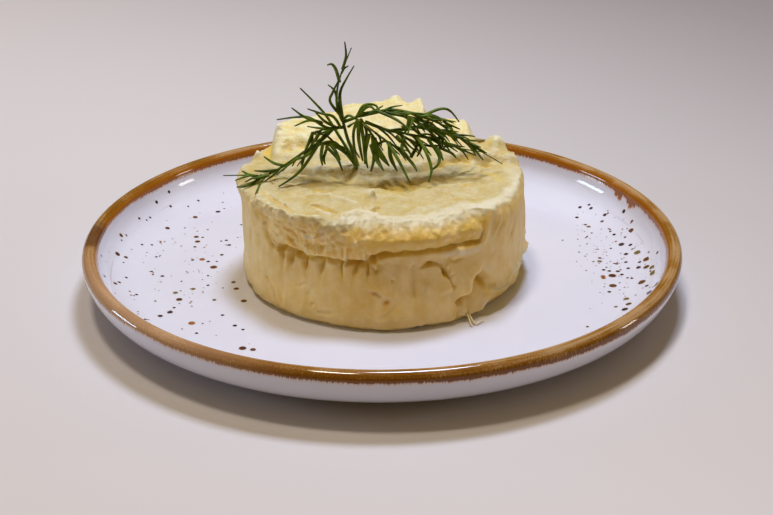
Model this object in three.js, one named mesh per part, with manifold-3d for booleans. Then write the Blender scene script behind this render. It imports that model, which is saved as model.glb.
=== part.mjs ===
// A side of mashed potato: pressed in a ring mould, turned out on a small rimmed plate,
// and topped with a sprig of dill. Millimetres, +Z up, standing on Z = 0 around the plate's axis.
// The diner's side, where the mash is torn, faces -Y.
import * as THREE from "three";
import { mergeVertices } from "three/addons/utils/BufferGeometryUtils.js";
import Module from "manifold-3d";

// ---------- Driving dimensions ----------

// Plate
const PLATE_RADIUS = 108.5;
const PLATE_HEIGHT = 20;
const PLATE_FLOOR = 5.5; // height of the flat floor that the food stands on
const FLOOR_THICKNESS = 4.2;
const FLOOR_RADIUS = 84; // where the floor starts to curve up into the wall
const WALL_FOOT_RADIUS = 98; // where the inside wall stands up
const LIP_RADIUS = 2.8; // the round lip is twice this thick
const FOOT_RADIUS = 65; // outside of the foot ring
const FOOT_WIDTH = 5;
const SHOULDER = { radius: 102.5, height: 7 }; // where the outside turns up into the wall
const PLATE_SEGMENTS = 64;

// Mash
const RING_RADIUS = 51; // inside of the ring mould
const MASH_CENTRE = { x: 0.9, y: -0.8 }; // turned out a little off the plate's centre
const CONTACT_GAP = 0.3; // the mash's underside over the plate's floor
const MASH_BASE = PLATE_FLOOR + CONTACT_GAP;
const RIM_TOP = 44; // the torn top edge, above the table
const LEDGE_LEFT = 29.5; // where the smooth moulded side ends, at the front left
const LEDGE_RIGHT = 35; // and at the front right
const TORN_LEFT = 0.8; // how far the torn layer stands back from the moulded side
const TORN_RIGHT = 4.6;
const SKIN_THICKNESS = 2.6; // of the skin that is missing low on the right
const SKIN_EDGE = 14.5; // height of the ragged lower edge of that skin
const STEP_RISE = 2.4; // up from the front of the top to its raised back half
const MOUND_RISE = 7.6; // how much the back half climbs to the back rim
const MASH_SEGMENTS = 72;

// Dill
const STEM_RADIUS = 0.75;
const LEAF_RADIUS = 0.5;
const TIP_RADIUS = 0.22;
const PLANTED_DEPTH = 7; // how far the stem is pushed into the mash
const POCKET_GAP = 0.35;
const LEAF_CLEARANCE = 1.1; // from a leaf's middle line down to the mash

const DEGREE = Math.PI / 180;

// ---------- Small helpers ----------

const wasm = await Module();
wasm.setup();

const { lerp, smoothstep } = THREE.MathUtils;

// A hump that is 1 at the middle and fades over the given width.
const hump = (value, middle, width) => Math.exp(-(((value - middle) / width) ** 2));

// Turns a lathe's own Y axis, which it spins around, into the part's Z axis.
function latheAroundZ(profile, segments) {
  return new THREE.LatheGeometry(profile, segments).rotateX(Math.PI / 2);
}

// A closed three.js geometry as a manifold-3d solid.
function solidFrom(geometry) {
  const bare = geometry.clone();
  bare.deleteAttribute("normal");
  bare.deleteAttribute("uv");
  const merged = mergeVertices(bare, 1e-4);
  return new wasm.Manifold(
    new wasm.Mesh({
      numProp: 3,
      vertProperties: new Float32Array(merged.attributes.position.array),
      triVerts: new Uint32Array(merged.index.array),
    }),
  );
}

// A manifold-3d solid as a three.js geometry.
function geometryFrom(solid) {
  const mesh = solid.getMesh();
  const geometry = new THREE.BufferGeometry();
  geometry.setAttribute("position", new THREE.BufferAttribute(mesh.vertProperties, 3));
  geometry.setIndex(new THREE.BufferAttribute(mesh.triVerts, 1));
  geometry.computeVertexNormals();
  return geometry;
}

function namedMesh(name, geometry, color, roughness) {
  const material = new THREE.MeshStandardMaterial({ color, roughness, metalness: 0 });
  const mesh = new THREE.Mesh(geometry, material);
  mesh.name = name;
  return mesh;
}

// ---------- Plate ----------

// Half of the plate's section, from the axis along the underside, over the lip and back along the floor.
function plateProfile() {
  const underside = PLATE_FLOOR - FLOOR_THICKNESS;
  const lipCentre = PLATE_RADIUS - LIP_RADIUS;
  const lipHeight = PLATE_HEIGHT - LIP_RADIUS;
  const innerLip = lipCentre - LIP_RADIUS;
  const section = new THREE.Path();
  section.moveTo(0, underside);
  section.lineTo(FOOT_RADIUS - FOOT_WIDTH, underside);
  section.lineTo(FOOT_RADIUS - FOOT_WIDTH + 1, 0);
  section.lineTo(FOOT_RADIUS - 1, 0);
  section.lineTo(FOOT_RADIUS + 0.6, underside);
  section.bezierCurveTo(80, underside + 0.2, 96, 2.8, SHOULDER.radius, SHOULDER.height);
  section.bezierCurveTo(106, 9.4, PLATE_RADIUS - 0.4, 13, PLATE_RADIUS, lipHeight);
  section.absarc(lipCentre, lipHeight, LIP_RADIUS, 0, Math.PI, false);
  section.bezierCurveTo(innerLip - 0.4, 13.5, 101, 11, WALL_FOOT_RADIUS, 8.9);
  section.bezierCurveTo(94, 6.6, 90, PLATE_FLOOR, FLOOR_RADIUS, PLATE_FLOOR);
  section.lineTo(0, PLATE_FLOOR);
  return withoutRepeats(section.getPoints(3));
}

function withoutRepeats(points) {
  return points.filter((point, i) => i === 0 || point.distanceTo(points[i - 1]) > 0.01);
}

function plate() {
  return namedMesh("plate", latheAroundZ(plateProfile(), PLATE_SEGMENTS), "#e6e2e4", 0.15);
}

// ---------- Mash ----------

// Angles around the mash are 0 at the diner's side (-Y) and grow towards +X.
const angleOf = (x, y) => Math.atan2(x, -y);

// How much of the torn front is closed again by the moulded side, which climbs to the rim at both ends.
function ledgeClimb(angle) {
  const left = smoothstep(-angle, 47 * DEGREE, 70 * DEGREE);
  const right = smoothstep(angle, 40 * DEGREE, 57 * DEGREE);
  return Math.max(left, right);
}

// The smooth moulded side ends at this height.
function ledgeHeight(angle) {
  const level = lerp(LEDGE_LEFT, LEDGE_RIGHT, smoothstep(angle, -12 * DEGREE, 18 * DEGREE));
  return lerp(level, RIM_TOP - 4, ledgeClimb(angle));
}

// How far the torn layer above the ledge stands back from the moulded side.
function tornDepth(angle) {
  const depth = lerp(TORN_LEFT, TORN_RIGHT, smoothstep(angle, -20 * DEGREE, -8 * DEGREE));
  return depth * (1 - smoothstep(ledgeClimb(angle), 0.6, 1));
}

// Low on the right the skin stayed in the mould. This is how much of it is missing there, 0 to 1.
function bareness(angle) {
  const starts = smoothstep(angle, 28 * DEGREE, 40 * DEGREE);
  const ends = smoothstep(angle, 104 * DEGREE, 128 * DEGREE);
  return starts * (1 - ends);
}

// The lower edge of the skin.
function skinEdge(angle) {
  return lerp(MASH_BASE + 3, SKIN_EDGE, smoothstep(angle, 30 * DEGREE, 52 * DEGREE));
}

// Swellings (out > 0) and hollows of the side: the angle in degrees and the height of each,
// how far it reaches round and up, and how far it stands out in millimetres.
const SIDE_FEATURES = [
  { angle: -86, height: 41.5, round: 24, tall: 3.5, out: 2.2 }, // lip of the left rim
  { angle: -30, height: 35, round: 13, tall: 4, out: 1.6 }, // lumps over the ledge
  { angle: 15, height: 36.5, round: 24, tall: 1.6, out: -1.6 }, // groove under the torn layer
  { angle: 18, height: 40.5, round: 26, tall: 2.4, out: 1.4 }, // the torn layer's own bulge
  { angle: -20, height: 9, round: 80, tall: 6, out: 1.3 }, // the foot has slumped
  { angle: 37, height: 19, round: 5, tall: 2.5, out: -1.6 }, // hole over the skin's edge
  { angle: 160, height: 24, round: 60, tall: 14, out: 0.8 },
];

// How far the side stands out (+) or in (-) from the ring mould, before it tore, in millimetres.
function sideRelief(angle, height) {
  let relief = 0.4 * Math.sin(3 * angle + 0.8) + 0.3 * Math.sin(7 * angle + height / 6);
  for (const { angle: middle, height: level, round, tall, out } of SIDE_FEATURES) {
    relief += out * hump(turnBetween(middle * DEGREE, angle), 0, round * DEGREE) * hump(height, level, tall);
  }
  return relief;
}

// The turn from one angle to another, the short way round.
function turnBetween(start, end) {
  return Math.atan2(Math.sin(end - start), Math.cos(end - start));
}

// The raised back half starts at this line. Both of its ends break off steeply.
const MOUND_LEFT_END = -42;
const MOUND_RIGHT_END = 33;
const moundEdge = (x) => 1 + 11 * smoothstep(x, 0, 38);

// Lumps (rise > 0) and pits of the top: the place of each from the mash's axis, how far it
// reaches across and back, and how high it is, all in millimetres.
const TOP_FEATURES = [
  { x: 5, y: 47, across: 9, back: 8, rise: 2.6 }, // highest lumps of the back
  { x: 42, y: 25, across: 4, back: 7, rise: 4 }, // knob at the right
  { x: 37, y: 33, across: 4, back: 6, rise: -3 },
  { x: -30, y: -32, across: 6, back: 5, rise: -2 }, // pit behind the front left rim
  { x: -17, y: -48, across: 9, back: 6, rise: -2.6 }, // the rim droops over the ledge
  { x: -50, y: 3, across: 10, back: 22, rise: -2.6 }, // the left rim sags
  { x: -4, y: -32, across: 3, back: 3, rise: 1.6 }, // small peak in front
];

// Height of the mash's top above the table, at a place measured from the mash's own axis.
function topHeight(x, y) {
  const behindEdge = y - moundEdge(x);
  const insideMound =
    smoothstep(x, MOUND_LEFT_END - 1.5, MOUND_LEFT_END + 2) *
    (1 - smoothstep(x, MOUND_RIGHT_END - 2, MOUND_RIGHT_END + 2));
  const step = STEP_RISE * smoothstep(behindEdge, -2.5, 2);
  const moundTop = lerp(24, 43, smoothstep(x, -36, -6)); // the left end climbs in a shorter way
  const mound = MOUND_RISE * smoothstep(y, 4, moundTop) * insideMound;
  const trough = -1.8 * hump(behindEdge, -7, 6) * hump(x, 0, 34);
  const rim = 1.6 * smoothstep(Math.hypot(x, y), 39, 47) * smoothstep(-y, -20, 10);
  const unevenness = 0.5 * Math.sin(x / 6.5 + 1) * Math.cos(y / 7.5);
  let height = RIM_TOP - 1.6 + step + mound + trough + rim + unevenness;
  for (const { x: middleX, y: middleY, across, back, rise } of TOP_FEATURES) {
    height += rise * hump(x, middleX, across) * hump(y, middleY, back);
  }
  return height;
}

// Levels on the way up the side. The drum's rings are spaced between them.
const AT_BASE = 0;
const AT_SKIN_EDGE = 1;
const AT_LEDGE = 2;
const AT_RIM = 3;
const STEP_WIDTH = 0.06; // of a broken edge, as a share of the way to the next level

// The drum's section as radius and level, along the underside, up the side and across the top.
function drumProfile() {
  const inside = [RING_RADIUS * 0.6, RING_RADIUS - 2.5];
  const sideLevels = [
    0.2, 0.6, AT_SKIN_EDGE, AT_SKIN_EDGE + STEP_WIDTH, 1.25, 1.5, 1.75, AT_LEDGE,
    AT_LEDGE + STEP_WIDTH, 2.3, 2.55, 2.8,
  ];
  const topRadii = [RING_RADIUS - 1.5, 46, 42.5, 38, 33, 28, 23, 18, 12, 6];
  const section = [
    [0, AT_BASE],
    ...inside.map((radius) => [radius, AT_BASE]),
    ...sideLevels.map((level) => [RING_RADIUS, level]),
    ...topRadii.map((radius) => [radius, AT_RIM]),
    [0, AT_RIM],
  ];
  return section.map(([radius, level]) => new THREE.Vector2(radius, level));
}

function mashGeometry() {
  const geometry = latheAroundZ(drumProfile(), MASH_SEGMENTS);
  const position = geometry.attributes.position;
  const vertex = new THREE.Vector3();
  for (let i = 0; i < position.count; i++) {
    vertex.fromBufferAttribute(position, i);
    shapeDrumVertex(vertex);
    position.setXYZ(i, vertex.x, vertex.y, vertex.z);
  }
  return geometry;
}

// Moves a vertex of the drum, whose z is still its level, to its place on the torn and slumped mash.
function shapeDrumVertex(vertex) {
  const radius = Math.hypot(vertex.x, vertex.y);
  const angle = angleOf(vertex.x, vertex.y);
  const level = Math.round(vertex.z * 100) / 100;
  const height = heightOfLevel(level, angle, vertex);
  if (radius > RING_RADIUS - 3) {
    const bare = level <= AT_SKIN_EDGE ? SKIN_THICKNESS * bareness(angle) : 0;
    const torn = level > AT_LEDGE ? tornDepth(angle) : 0;
    const scale = (radius + sideRelief(angle, height) - bare - torn) / radius;
    vertex.x *= scale;
    vertex.y *= scale;
  }
  vertex.z = level === AT_RIM ? topHeight(vertex.x, vertex.y) : height;
}

function heightOfLevel(level, angle, { x, y }) {
  const heights = [MASH_BASE, skinEdge(angle), ledgeHeight(angle), topHeight(x, y) - 0.8];
  const below = Math.min(Math.floor(level), AT_LEDGE);
  return lerp(heights[below], heights[below + 1], level - below);
}

// ---------- Dill ----------

// A round tapered tube along a curve, closed at both ends.
function bentTaper(curve, startRadius, endRadius, sides, steps) {
  const tube = new THREE.CylinderGeometry(endRadius, startRadius, 1, sides, steps);
  const frames = curve.computeFrenetFrames(steps);
  const position = tube.attributes.position;
  for (let i = 0; i < position.count; i++) {
    const along = position.getY(i) + 0.5;
    const ring = Math.round(along * steps);
    const point = curve.getPointAt(ring / steps);
    point.addScaledVector(frames.normals[ring], position.getX(i));
    point.addScaledVector(frames.binormals[ring], position.getZ(i));
    position.setXYZ(i, point.x, point.y, point.z);
  }
  const solid = solidFrom(tube);
  return solid.volume() > 0 ? solid : solidFrom(turnedInsideOut(tube));
}

function turnedInsideOut(geometry) {
  const index = geometry.index;
  for (let i = 0; i < index.count; i += 3) {
    const second = index.getX(i + 1);
    index.setX(i + 1, index.getX(i + 2));
    index.setX(i + 2, second);
  }
  return geometry;
}

// Keeps a point of the sprig off the mash's top. The sprig is placed from the plate's axis.
function liftClear(point) {
  const x = point.x - MASH_CENTRE.x;
  const y = point.y - MASH_CENTRE.y;
  if (Math.hypot(x, y) < RING_RADIUS + 2) {
    point.z = Math.max(point.z, topHeight(x, y) + LEAF_CLEARANCE);
  }
  return point;
}

const curveThrough = (points) =>
  new THREE.CatmullRomCurve3(points.map(([x, y, z]) => new THREE.Vector3(x, y, z)));

// Where the stem goes in, and where it branches.
const PLANTED = [-9.5, 1.5, 46];
const NODE = [-14, 1, 64];

// The stem goes into the mash. Each frond is a middle rib that leaves the stem and droops.
const STEM_ROUTE = [[-7, 3.5, PLANTED[2] - PLANTED_DEPTH], PLANTED, [-12.5, 1, 56], NODE];
const FRONDS = {
  up: { ribs: [NODE, [-15, 1, 72], [-14.5, 2, 79], [-12.5, 2, 86], [-10.8, 2, 90]] },
  upperLeft: { ribs: [[-12.8, 1, 58], [-20, -1, 63], [-27, -3, 64.5], [-33, -4, 68]] },
  leftLong: { ribs: [[-11, 1, 51], [-17, 4, 58], [-24, 6, 66], [-29, 7, 72]] },
  lowerLeft: {
    ribs: [[-13.4, 1, 61], [-25, -3, 60], [-31, -6, 52], [-39, -9, 47], [-47, -9, 45.2], [-54, -8, 44.6], [-60, -7, 45.4]],
  },
  right: {
    ribs: [NODE, [-4, -3, 68.5], [8, -5, 69], [20, -6, 65.5], [30, -5, 58], [38, -2, 53], [44.5, 0, 49]],
  },
  rightBack: { ribs: [[-12.6, 1, 57], [0, 7, 64], [14, 9, 65], [24, 8, 60], [29, 6, 55]] },
  rightLow: { ribs: [[-11.5, 1, 54], [2, -1, 60], [16, -2, 57], [28, 1, 54], [34, 3, 51]] },
};

// Leaves of each frond: [where they leave the rib (0 to 1), sideways, towards the back, up], in millimetres.
const LEAVES = {
  up: [[0.02, -3.5, 0, 8], [0.4, 5, -1, 8], [0.5, -5, 1, 5], [0.75, -1.5, 2, 6]],
  upperLeft: [[0.45, -12, -3, -1], [0.6, -8, 2, -4]],
  leftLong: [[0.45, -8, 2, 2], [0.6, 5, 3, 3]],
  lowerLeft: [[0.35, -3, -9, -7], [0.45, -9, -10, -5], [0.6, -4, 6, 5], [0.7, -8, -7, -3], [0.8, -6, 5, 3]],
  right: [
    [0.12, 2, -4, -12], [0.2, 6, -5, -16], [0.28, -3, -7, -15], [0.36, 9, -7, -17], [0.45, 4, -8, -18],
    [0.5, 12, -6, -11], [0.58, 5, -7, -13], [0.66, 11, 3, 0], [0.78, 7, -5, -4],
  ],
  rightBack: [[0.3, -3, 7, 4], [0.5, 9, 6, 1], [0.7, 8, 5, -4]],
  rightLow: [[0.25, 1, -8, -9], [0.45, 5, -9, -9], [0.65, 7, -8, -6], [0.8, 6, -6, -3]],
};

// One leaf: it leaves the rib at a slant and bows over to its tip.
function leaf(rib, [share, sideways, back, up]) {
  const start = rib.getPointAt(share);
  const tip = liftClear(new THREE.Vector3(start.x + sideways, start.y + back, start.z + up));
  const bow = start.clone().lerp(tip, 0.5);
  bow.z += 0.18 * start.distanceTo(tip);
  const curve = new THREE.QuadraticBezierCurve3(start, liftClear(bow), tip);
  return bentTaper(curve, LEAF_RADIUS, TIP_RADIUS, 4, 4);
}

function dillSolid() {
  let sprig = bentTaper(curveThrough(STEM_ROUTE), STEM_RADIUS, LEAF_RADIUS, 6, 8);
  for (const [name, frond] of Object.entries(FRONDS)) {
    const rib = curveThrough(frond.ribs);
    sprig = sprig.add(bentTaper(rib, LEAF_RADIUS * 1.1, TIP_RADIUS, 4, 11));
    for (const placed of LEAVES[name]) {
      sprig = sprig.add(leaf(rib, placed));
    }
  }
  return sprig;
}

// The hole that the planted stem has pressed into the mash.
function stemPocket() {
  const radius = STEM_RADIUS + POCKET_GAP;
  const below = [-6.6, 3.8, PLANTED[2] - PLANTED_DEPTH - POCKET_GAP];
  const above = [-10.6, 1.2, PLANTED[2] + 5];
  return bentTaper(curveThrough([below, STEM_ROUTE[0], PLANTED, above]), radius, radius, 8, 6);
}

// ---------- The part ----------

const sprig = dillSolid();
const mashAtPlace = solidFrom(mashGeometry().translate(MASH_CENTRE.x, MASH_CENTRE.y, 0));
const mash = mashAtPlace.subtract(stemPocket());

const part = new THREE.Group();
part.add(plate());
part.add(namedMesh("mash", geometryFrom(mash), "#ecd9a8", 0.55));
part.add(namedMesh("dill_sprig", geometryFrom(sprig), "#3d5a1c", 0.5));

export default part;
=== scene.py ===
# %% [markdown]
# # Mashed potato side on its plate
#
# A drum of mashed potato, pressed in a ring mould and turned out on a small stoneware plate,
# with a sprig of dill planted in it. The plate, the mash and the sprig each take the place of one
# plain solid of the imported part. The plate's radius and height and the mash's foot come from
# those solids. Every size below is in millimetres, and becomes metres where a mesh is made.

import math

import bpy
import numpy as np
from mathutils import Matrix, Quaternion, Vector


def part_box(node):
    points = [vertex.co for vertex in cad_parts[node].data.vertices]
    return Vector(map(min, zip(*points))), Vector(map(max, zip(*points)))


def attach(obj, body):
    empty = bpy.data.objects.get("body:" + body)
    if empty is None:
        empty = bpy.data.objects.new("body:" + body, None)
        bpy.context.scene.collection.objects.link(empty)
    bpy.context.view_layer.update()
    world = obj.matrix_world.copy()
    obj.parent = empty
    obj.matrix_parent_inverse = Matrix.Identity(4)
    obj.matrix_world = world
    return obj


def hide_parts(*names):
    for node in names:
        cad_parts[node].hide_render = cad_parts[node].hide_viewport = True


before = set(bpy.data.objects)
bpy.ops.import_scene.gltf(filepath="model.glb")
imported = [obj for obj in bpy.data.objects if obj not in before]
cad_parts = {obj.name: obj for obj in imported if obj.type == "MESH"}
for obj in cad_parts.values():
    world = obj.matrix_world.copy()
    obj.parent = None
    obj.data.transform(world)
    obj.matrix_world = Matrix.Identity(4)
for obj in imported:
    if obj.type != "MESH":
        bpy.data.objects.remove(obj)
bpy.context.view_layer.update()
MM = 0.001


def span(node):
    """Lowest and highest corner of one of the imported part's solids, in millimetres."""
    low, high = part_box(node)
    return np.array(low) / MM, np.array(high) / MM


PLATE_RADIUS, _, PLATE_HEIGHT = span("plate")[1]
MASH_FOOT = span("mash")[0][2]
for node in ("plate", "mash", "dill_sprig"):
    low, high = span(node)
    print(node, "measures", (high - low).round(1), "mm and reaches up to", high[2].round(1), "mm")

# %% [markdown]
# ## Helpers for node trees
#
# Geometry trees and shader trees are wired in the same way, so one helper adds a node, sets its
# plain values and links what comes from other nodes. A second one does sums. Trees that make
# geometry get named inputs and end in plain geometry with a material. Their result is turned into
# a plain mesh at once, because a finished piece must not depend on a live modifier.


# %% Node helpers
def add(tree, kind, inputs=None, **settings):
    """Adds a node. `inputs` gives each socket, by name or place, a value or an output to link."""
    node = tree.nodes.new(kind)
    for name, value in settings.items():
        setattr(node, name, value)
    for socket, value in (inputs or {}).items():
        if isinstance(value, bpy.types.NodeSocket):
            tree.links.new(value, node.inputs[socket])
        else:
            node.inputs[socket].default_value = value
    return node


def calc(tree, operation, *values, clamp=False):
    """One step of arithmetic on numbers or outputs."""
    inputs = dict(enumerate(values))
    return add(tree, "ShaderNodeMath", inputs, operation=operation, use_clamp=clamp).outputs[0]


def vector_calc(tree, operation, **inputs):
    """One step of arithmetic on vectors. Inputs are Vector, and Second or Scale."""
    places = {"Vector": 0, "Second": 1, "Scale": 3}
    inputs = {places[name]: value for name, value in inputs.items()}
    return add(tree, "ShaderNodeVectorMath", inputs, operation=operation).outputs[0]


def wavering(tree, noise, size):
    """Noise from 0 to 1 as a waver of half of `size` either way."""
    return calc(tree, "MULTIPLY", calc(tree, "SUBTRACT", noise, 0.5), size)


def hypotenuse(tree, x, y):
    """Distance from the origin to (x, y)."""
    squares = [calc(tree, "POWER", side, 2.0) for side in (x, y)]
    return calc(tree, "SQRT", calc(tree, "ADD", *squares))


def ramp(tree, value, low, high, start=0.0, end=1.0):
    """Turns low..high smoothly into start..end. Each can be a number or an output."""
    inputs = {"Value": value, "From Min": low, "From Max": high, "To Min": start, "To Max": end}
    node = add(tree, "ShaderNodeMapRange", inputs, interpolation_type="SMOOTHSTEP")
    return node.outputs["Result"]


def mix(tree, share, first, second):
    """Mixes two colours. Each can be a colour or an output."""
    # The Mix node has a set of sockets for each kind of data. Those of colours are 6 and 7.
    inputs = {0: share, 6: first, 7: second}
    return add(tree, "ShaderNodeMix", inputs, data_type="RGBA").outputs[2]


def colour(red, green, blue):
    """A colour as seen on a screen, 0 to 255, as the linear numbers that Blender uses."""
    shares = [c / 255 for c in (red, green, blue)]
    linear = [s / 12.92 if s <= 0.04045 else ((s + 0.055) / 1.055) ** 2.4 for s in shares]
    return (*linear, 1.0)


print("middle grey of a screen is", round(colour(128, 128, 128)[0], 3), "as a linear number")

# %% Helpers for whole trees
GEOMETRY = ("NodeSocketGeometry", None)
MATERIAL = ("NodeSocketMaterial", None)


def new_tree(name, kind, inputs, outputs):
    """A node group with named sockets, and its input and output nodes."""
    tree = bpy.data.node_groups.new(name, kind)
    for way, sockets in (("INPUT", inputs), ("OUTPUT", outputs)):
        for label, (socket_type, default) in sockets.items():
            socket = tree.interface.new_socket(label, in_out=way, socket_type=socket_type)
            if default is not None:
                socket.default_value = default
    return tree, tree.nodes.new("NodeGroupInput").outputs, tree.nodes.new("NodeGroupOutput").inputs


def end_tree(tree, geometry, material, result):
    """Ends a tree in plain geometry with its material."""
    whole = add(tree, "GeometryNodeRealizeInstances", {"Geometry": geometry})
    coated = add(tree, "GeometryNodeSetMaterial", {0: whole.outputs[0], "Material": material})
    tree.links.new(coated.outputs[0], result["Geometry"])
    print(tree.name, "is a tree with", len(tree.nodes), "nodes")


def grown(name, start, tree, **values):
    """Runs a geometry tree on the mesh `start`, and returns the result as a plain mesh object."""
    piece = bpy.data.objects.new(name, start)
    bpy.context.scene.collection.objects.link(piece)
    modifier = piece.modifiers.new(tree.name, "NODES")
    modifier.node_group = tree
    for item in tree.interface.items_tree:
        if item.in_out == "INPUT" and item.name in values:
            modifier[item.identifier] = values[item.name]
    depsgraph = bpy.context.evaluated_depsgraph_get()
    mesh = bpy.data.meshes.new_from_object(
        piece.evaluated_get(depsgraph), preserve_all_data_layers=True, depsgraph=depsgraph
    )
    piece.modifiers.clear()
    piece.data = mesh
    mesh.name = name
    return piece


# %% Helpers for meshes and pieces
def mesh_of(name, points, faces=(), edges=(), **numbers):
    """A mesh from points in millimetres, with one float attribute for each named array."""
    mesh = bpy.data.meshes.new(name)
    mesh.from_pydata(np.asarray(points, float) * MM, edges, faces)
    for label, values in numbers.items():
        attribute = mesh.attributes.new(label, "FLOAT", "POINT")
        attribute.data.foreach_set("value", np.asarray(values, np.float32))
    return mesh


def finish_piece(piece, node):
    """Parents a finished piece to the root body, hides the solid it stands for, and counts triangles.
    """
    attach(piece, "root")
    if node:
        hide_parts(node)
    piece.data.calc_loop_triangles()
    print(piece.name, len(piece.data.loop_triangles), "triangles")


# %% [markdown]
# ## Camera
#
# The diner looks down on the plate at about 25 degrees from half a metre away. The sprig is laid
# out as the diner sees it, so the eye's place comes before it.

# %% Camera
EYE = np.array([0.0, -503.9, 239.8])
LOOKS_AT = np.array([1.6, 3.6, 7.6])
FOCAL_LENGTH = 69.86
SENSOR_WIDTH = 36
HEAD_TILT = -0.28

camera = bpy.data.objects.new("camera", bpy.data.cameras.new("camera"))
camera.data.lens = FOCAL_LENGTH
camera.data.sensor_width = SENSOR_WIDTH
camera.location = EYE * MM
gaze = Vector(LOOKS_AT - EYE).to_track_quat("-Z", "Y")
roll = Quaternion((0, 0, 1), math.radians(HEAD_TILT))
camera.rotation_mode = "QUATERNION"
camera.rotation_quaternion = gaze @ roll
bpy.context.scene.collection.objects.link(camera)
bpy.context.scene.camera = camera
print("camera at", camera.location)

# %% [markdown]
# ## Plate
#
# The plate was turned on a wheel: one section goes round an axis. Its section is a flat floor that
# curves up into a low wall with a round lip, over a foot ring. It could be a Screw modifier on a
# curve, but a Geometry Nodes tree that bends a grid round the axis keeps the number of turns a
# named input, and closes the seam and both poles in the same step.

# %% Section of the plate
FLOOR_HEIGHT = 5.5
UNDERSIDE = 1.3
FLOOR_RADIUS = 84.0
WALL_FOOT_RADIUS = 98.0
WALL_FOOT_HEIGHT = 8.9
SHOULDER = (102.5, 7.0)
LIP_RADIUS = 2.8
FOOT_RADIUS = 65.0
FOOT_WIDTH = 5.0
FOOT_ROUNDING = 0.6
HOLLOW_ROUNDING = 0.8
SHORTEST_STEP = 0.05

print("floor", 2 * FLOOR_RADIUS, "mm wide,", FLOOR_HEIGHT - UNDERSIDE, "mm thick")


# %% Curves of the section
def line(start, end, steps):
    """Points on a straight line."""
    shares = np.linspace(0, 1, steps)[:, None]
    return (1 - shares) * np.array(start, float) + shares * np.array(end, float)


def bend(start, first_pull, second_pull, end, steps):
    """A curve from start to end that leaves and arrives in the direction of the two pulls."""
    t = np.linspace(0, 1, steps)[:, None]
    p = [np.array(q, float) for q in (start, first_pull, second_pull, end)]
    return (
        (1 - t) ** 3 * p[0] + 3 * (1 - t) ** 2 * t * p[1] + 3 * (1 - t) * t**2 * p[2] + t**3 * p[3]
    )


def arc(centre, radius, start, end, steps):
    """Points on part of a circle, from one heading in degrees to another."""
    t = np.radians(np.linspace(start, end, steps))
    return np.array(centre) + radius * np.stack([np.cos(t), np.sin(t)], 1)


def plate_section():
    """(radius, height) from the axis along the underside, over the lip and back to the axis."""
    lip_centre = (PLATE_RADIUS - LIP_RADIUS, PLATE_HEIGHT - LIP_RADIUS)
    outer_lip = (PLATE_RADIUS, lip_centre[1])
    inner_lip = (PLATE_RADIUS - 2 * LIP_RADIUS, lip_centre[1])
    foot_inside = FOOT_RADIUS - FOOT_WIDTH
    wall_foot = (WALL_FOOT_RADIUS, WALL_FOOT_HEIGHT)
    hollow_height = UNDERSIDE - HOLLOW_ROUNDING
    stretches = [
        line((0, UNDERSIDE), (foot_inside - 1, UNDERSIDE), 7),
        arc((foot_inside - 0.2, hollow_height), HOLLOW_ROUNDING, 90, 0, 4),
        arc((foot_inside + 1.5, FOOT_ROUNDING), FOOT_ROUNDING, 200, 270, 4),
        arc((FOOT_RADIUS - 1.6, FOOT_ROUNDING), FOOT_ROUNDING, 270, 340, 4),
        arc((FOOT_RADIUS + 0.6, hollow_height), HOLLOW_ROUNDING, 180, 90, 4),
        bend((FOOT_RADIUS + 1, UNDERSIDE), (80, 1.5), (96, 2.8), SHOULDER, 16),
        bend(SHOULDER, (106, 9.4), (PLATE_RADIUS - 0.4, 13), outer_lip, 10),
        arc(lip_centre, LIP_RADIUS, 0, 180, 17),
        bend(inner_lip, (inner_lip[0] - 0.4, 13.5), (101, 11), wall_foot, 12),
        bend(wall_foot, (94, 6.6), (90, FLOOR_HEIGHT), (FLOOR_RADIUS, FLOOR_HEIGHT), 12),
        line((FLOOR_RADIUS, FLOOR_HEIGHT), (0, FLOOR_HEIGHT), 11),
    ]
    points = np.concatenate(stretches)
    apart = np.linalg.norm(np.diff(points, axis=0), axis=1)
    return points[np.r_[True, apart > SHORTEST_STEP]]


section = plate_section()
print("plate section has", len(section), "points")

# %% Tree that turns a section on a wheel
TURNS = 256
WELD = 0.002

wheel, given, result = new_tree(
    "turned on a wheel",
    "GeometryNodeTree",
    {"Section": GEOMETRY, "Turns": ("NodeSocketInt", TURNS), "Material": MATERIAL},
    {"Geometry": GEOMETRY},
)
size = add(wheel, "GeometryNodeAttributeDomainSize", {0: given["Section"]})
rows = size.outputs["Point Count"]
columns = calc(wheel, "ADD", given["Turns"], 1)
grid = add(wheel, "GeometryNodeMeshGrid", {"Vertices X": columns, "Vertices Y": rows})
number = add(wheel, "GeometryNodeInputIndex").outputs[0]
column = calc(wheel, "FLOOR", calc(wheel, "DIVIDE", calc(wheel, "ADD", number, 0.5), rows))
row = calc(wheel, "SUBTRACT", number, calc(wheel, "MULTIPLY", column, rows))
place = add(wheel, "GeometryNodeInputPosition").outputs[0]
sample = add(wheel, "GeometryNodeSampleIndex", data_type="FLOAT_VECTOR")
wheel.links.new(given["Section"], sample.inputs["Geometry"])
wheel.links.new(place, sample.inputs["Value"])
wheel.links.new(row, sample.inputs["Index"])
profile = add(wheel, "ShaderNodeSeparateXYZ", {0: sample.outputs[0]}).outputs
turn = calc(wheel, "MULTIPLY", calc(wheel, "DIVIDE", column, given["Turns"]), math.tau)
across = calc(wheel, "MULTIPLY", profile["X"], calc(wheel, "COSINE", turn))
back = calc(wheel, "MULTIPLY", profile["X"], calc(wheel, "SINE", turn))
bent = add(wheel, "ShaderNodeCombineXYZ", {"X": across, "Y": back, "Z": profile["Z"]})
moved = add(
    wheel,
    "GeometryNodeSetPosition",
    {"Geometry": grid.outputs["Mesh"], "Position": bent.outputs[0]},
)
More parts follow.
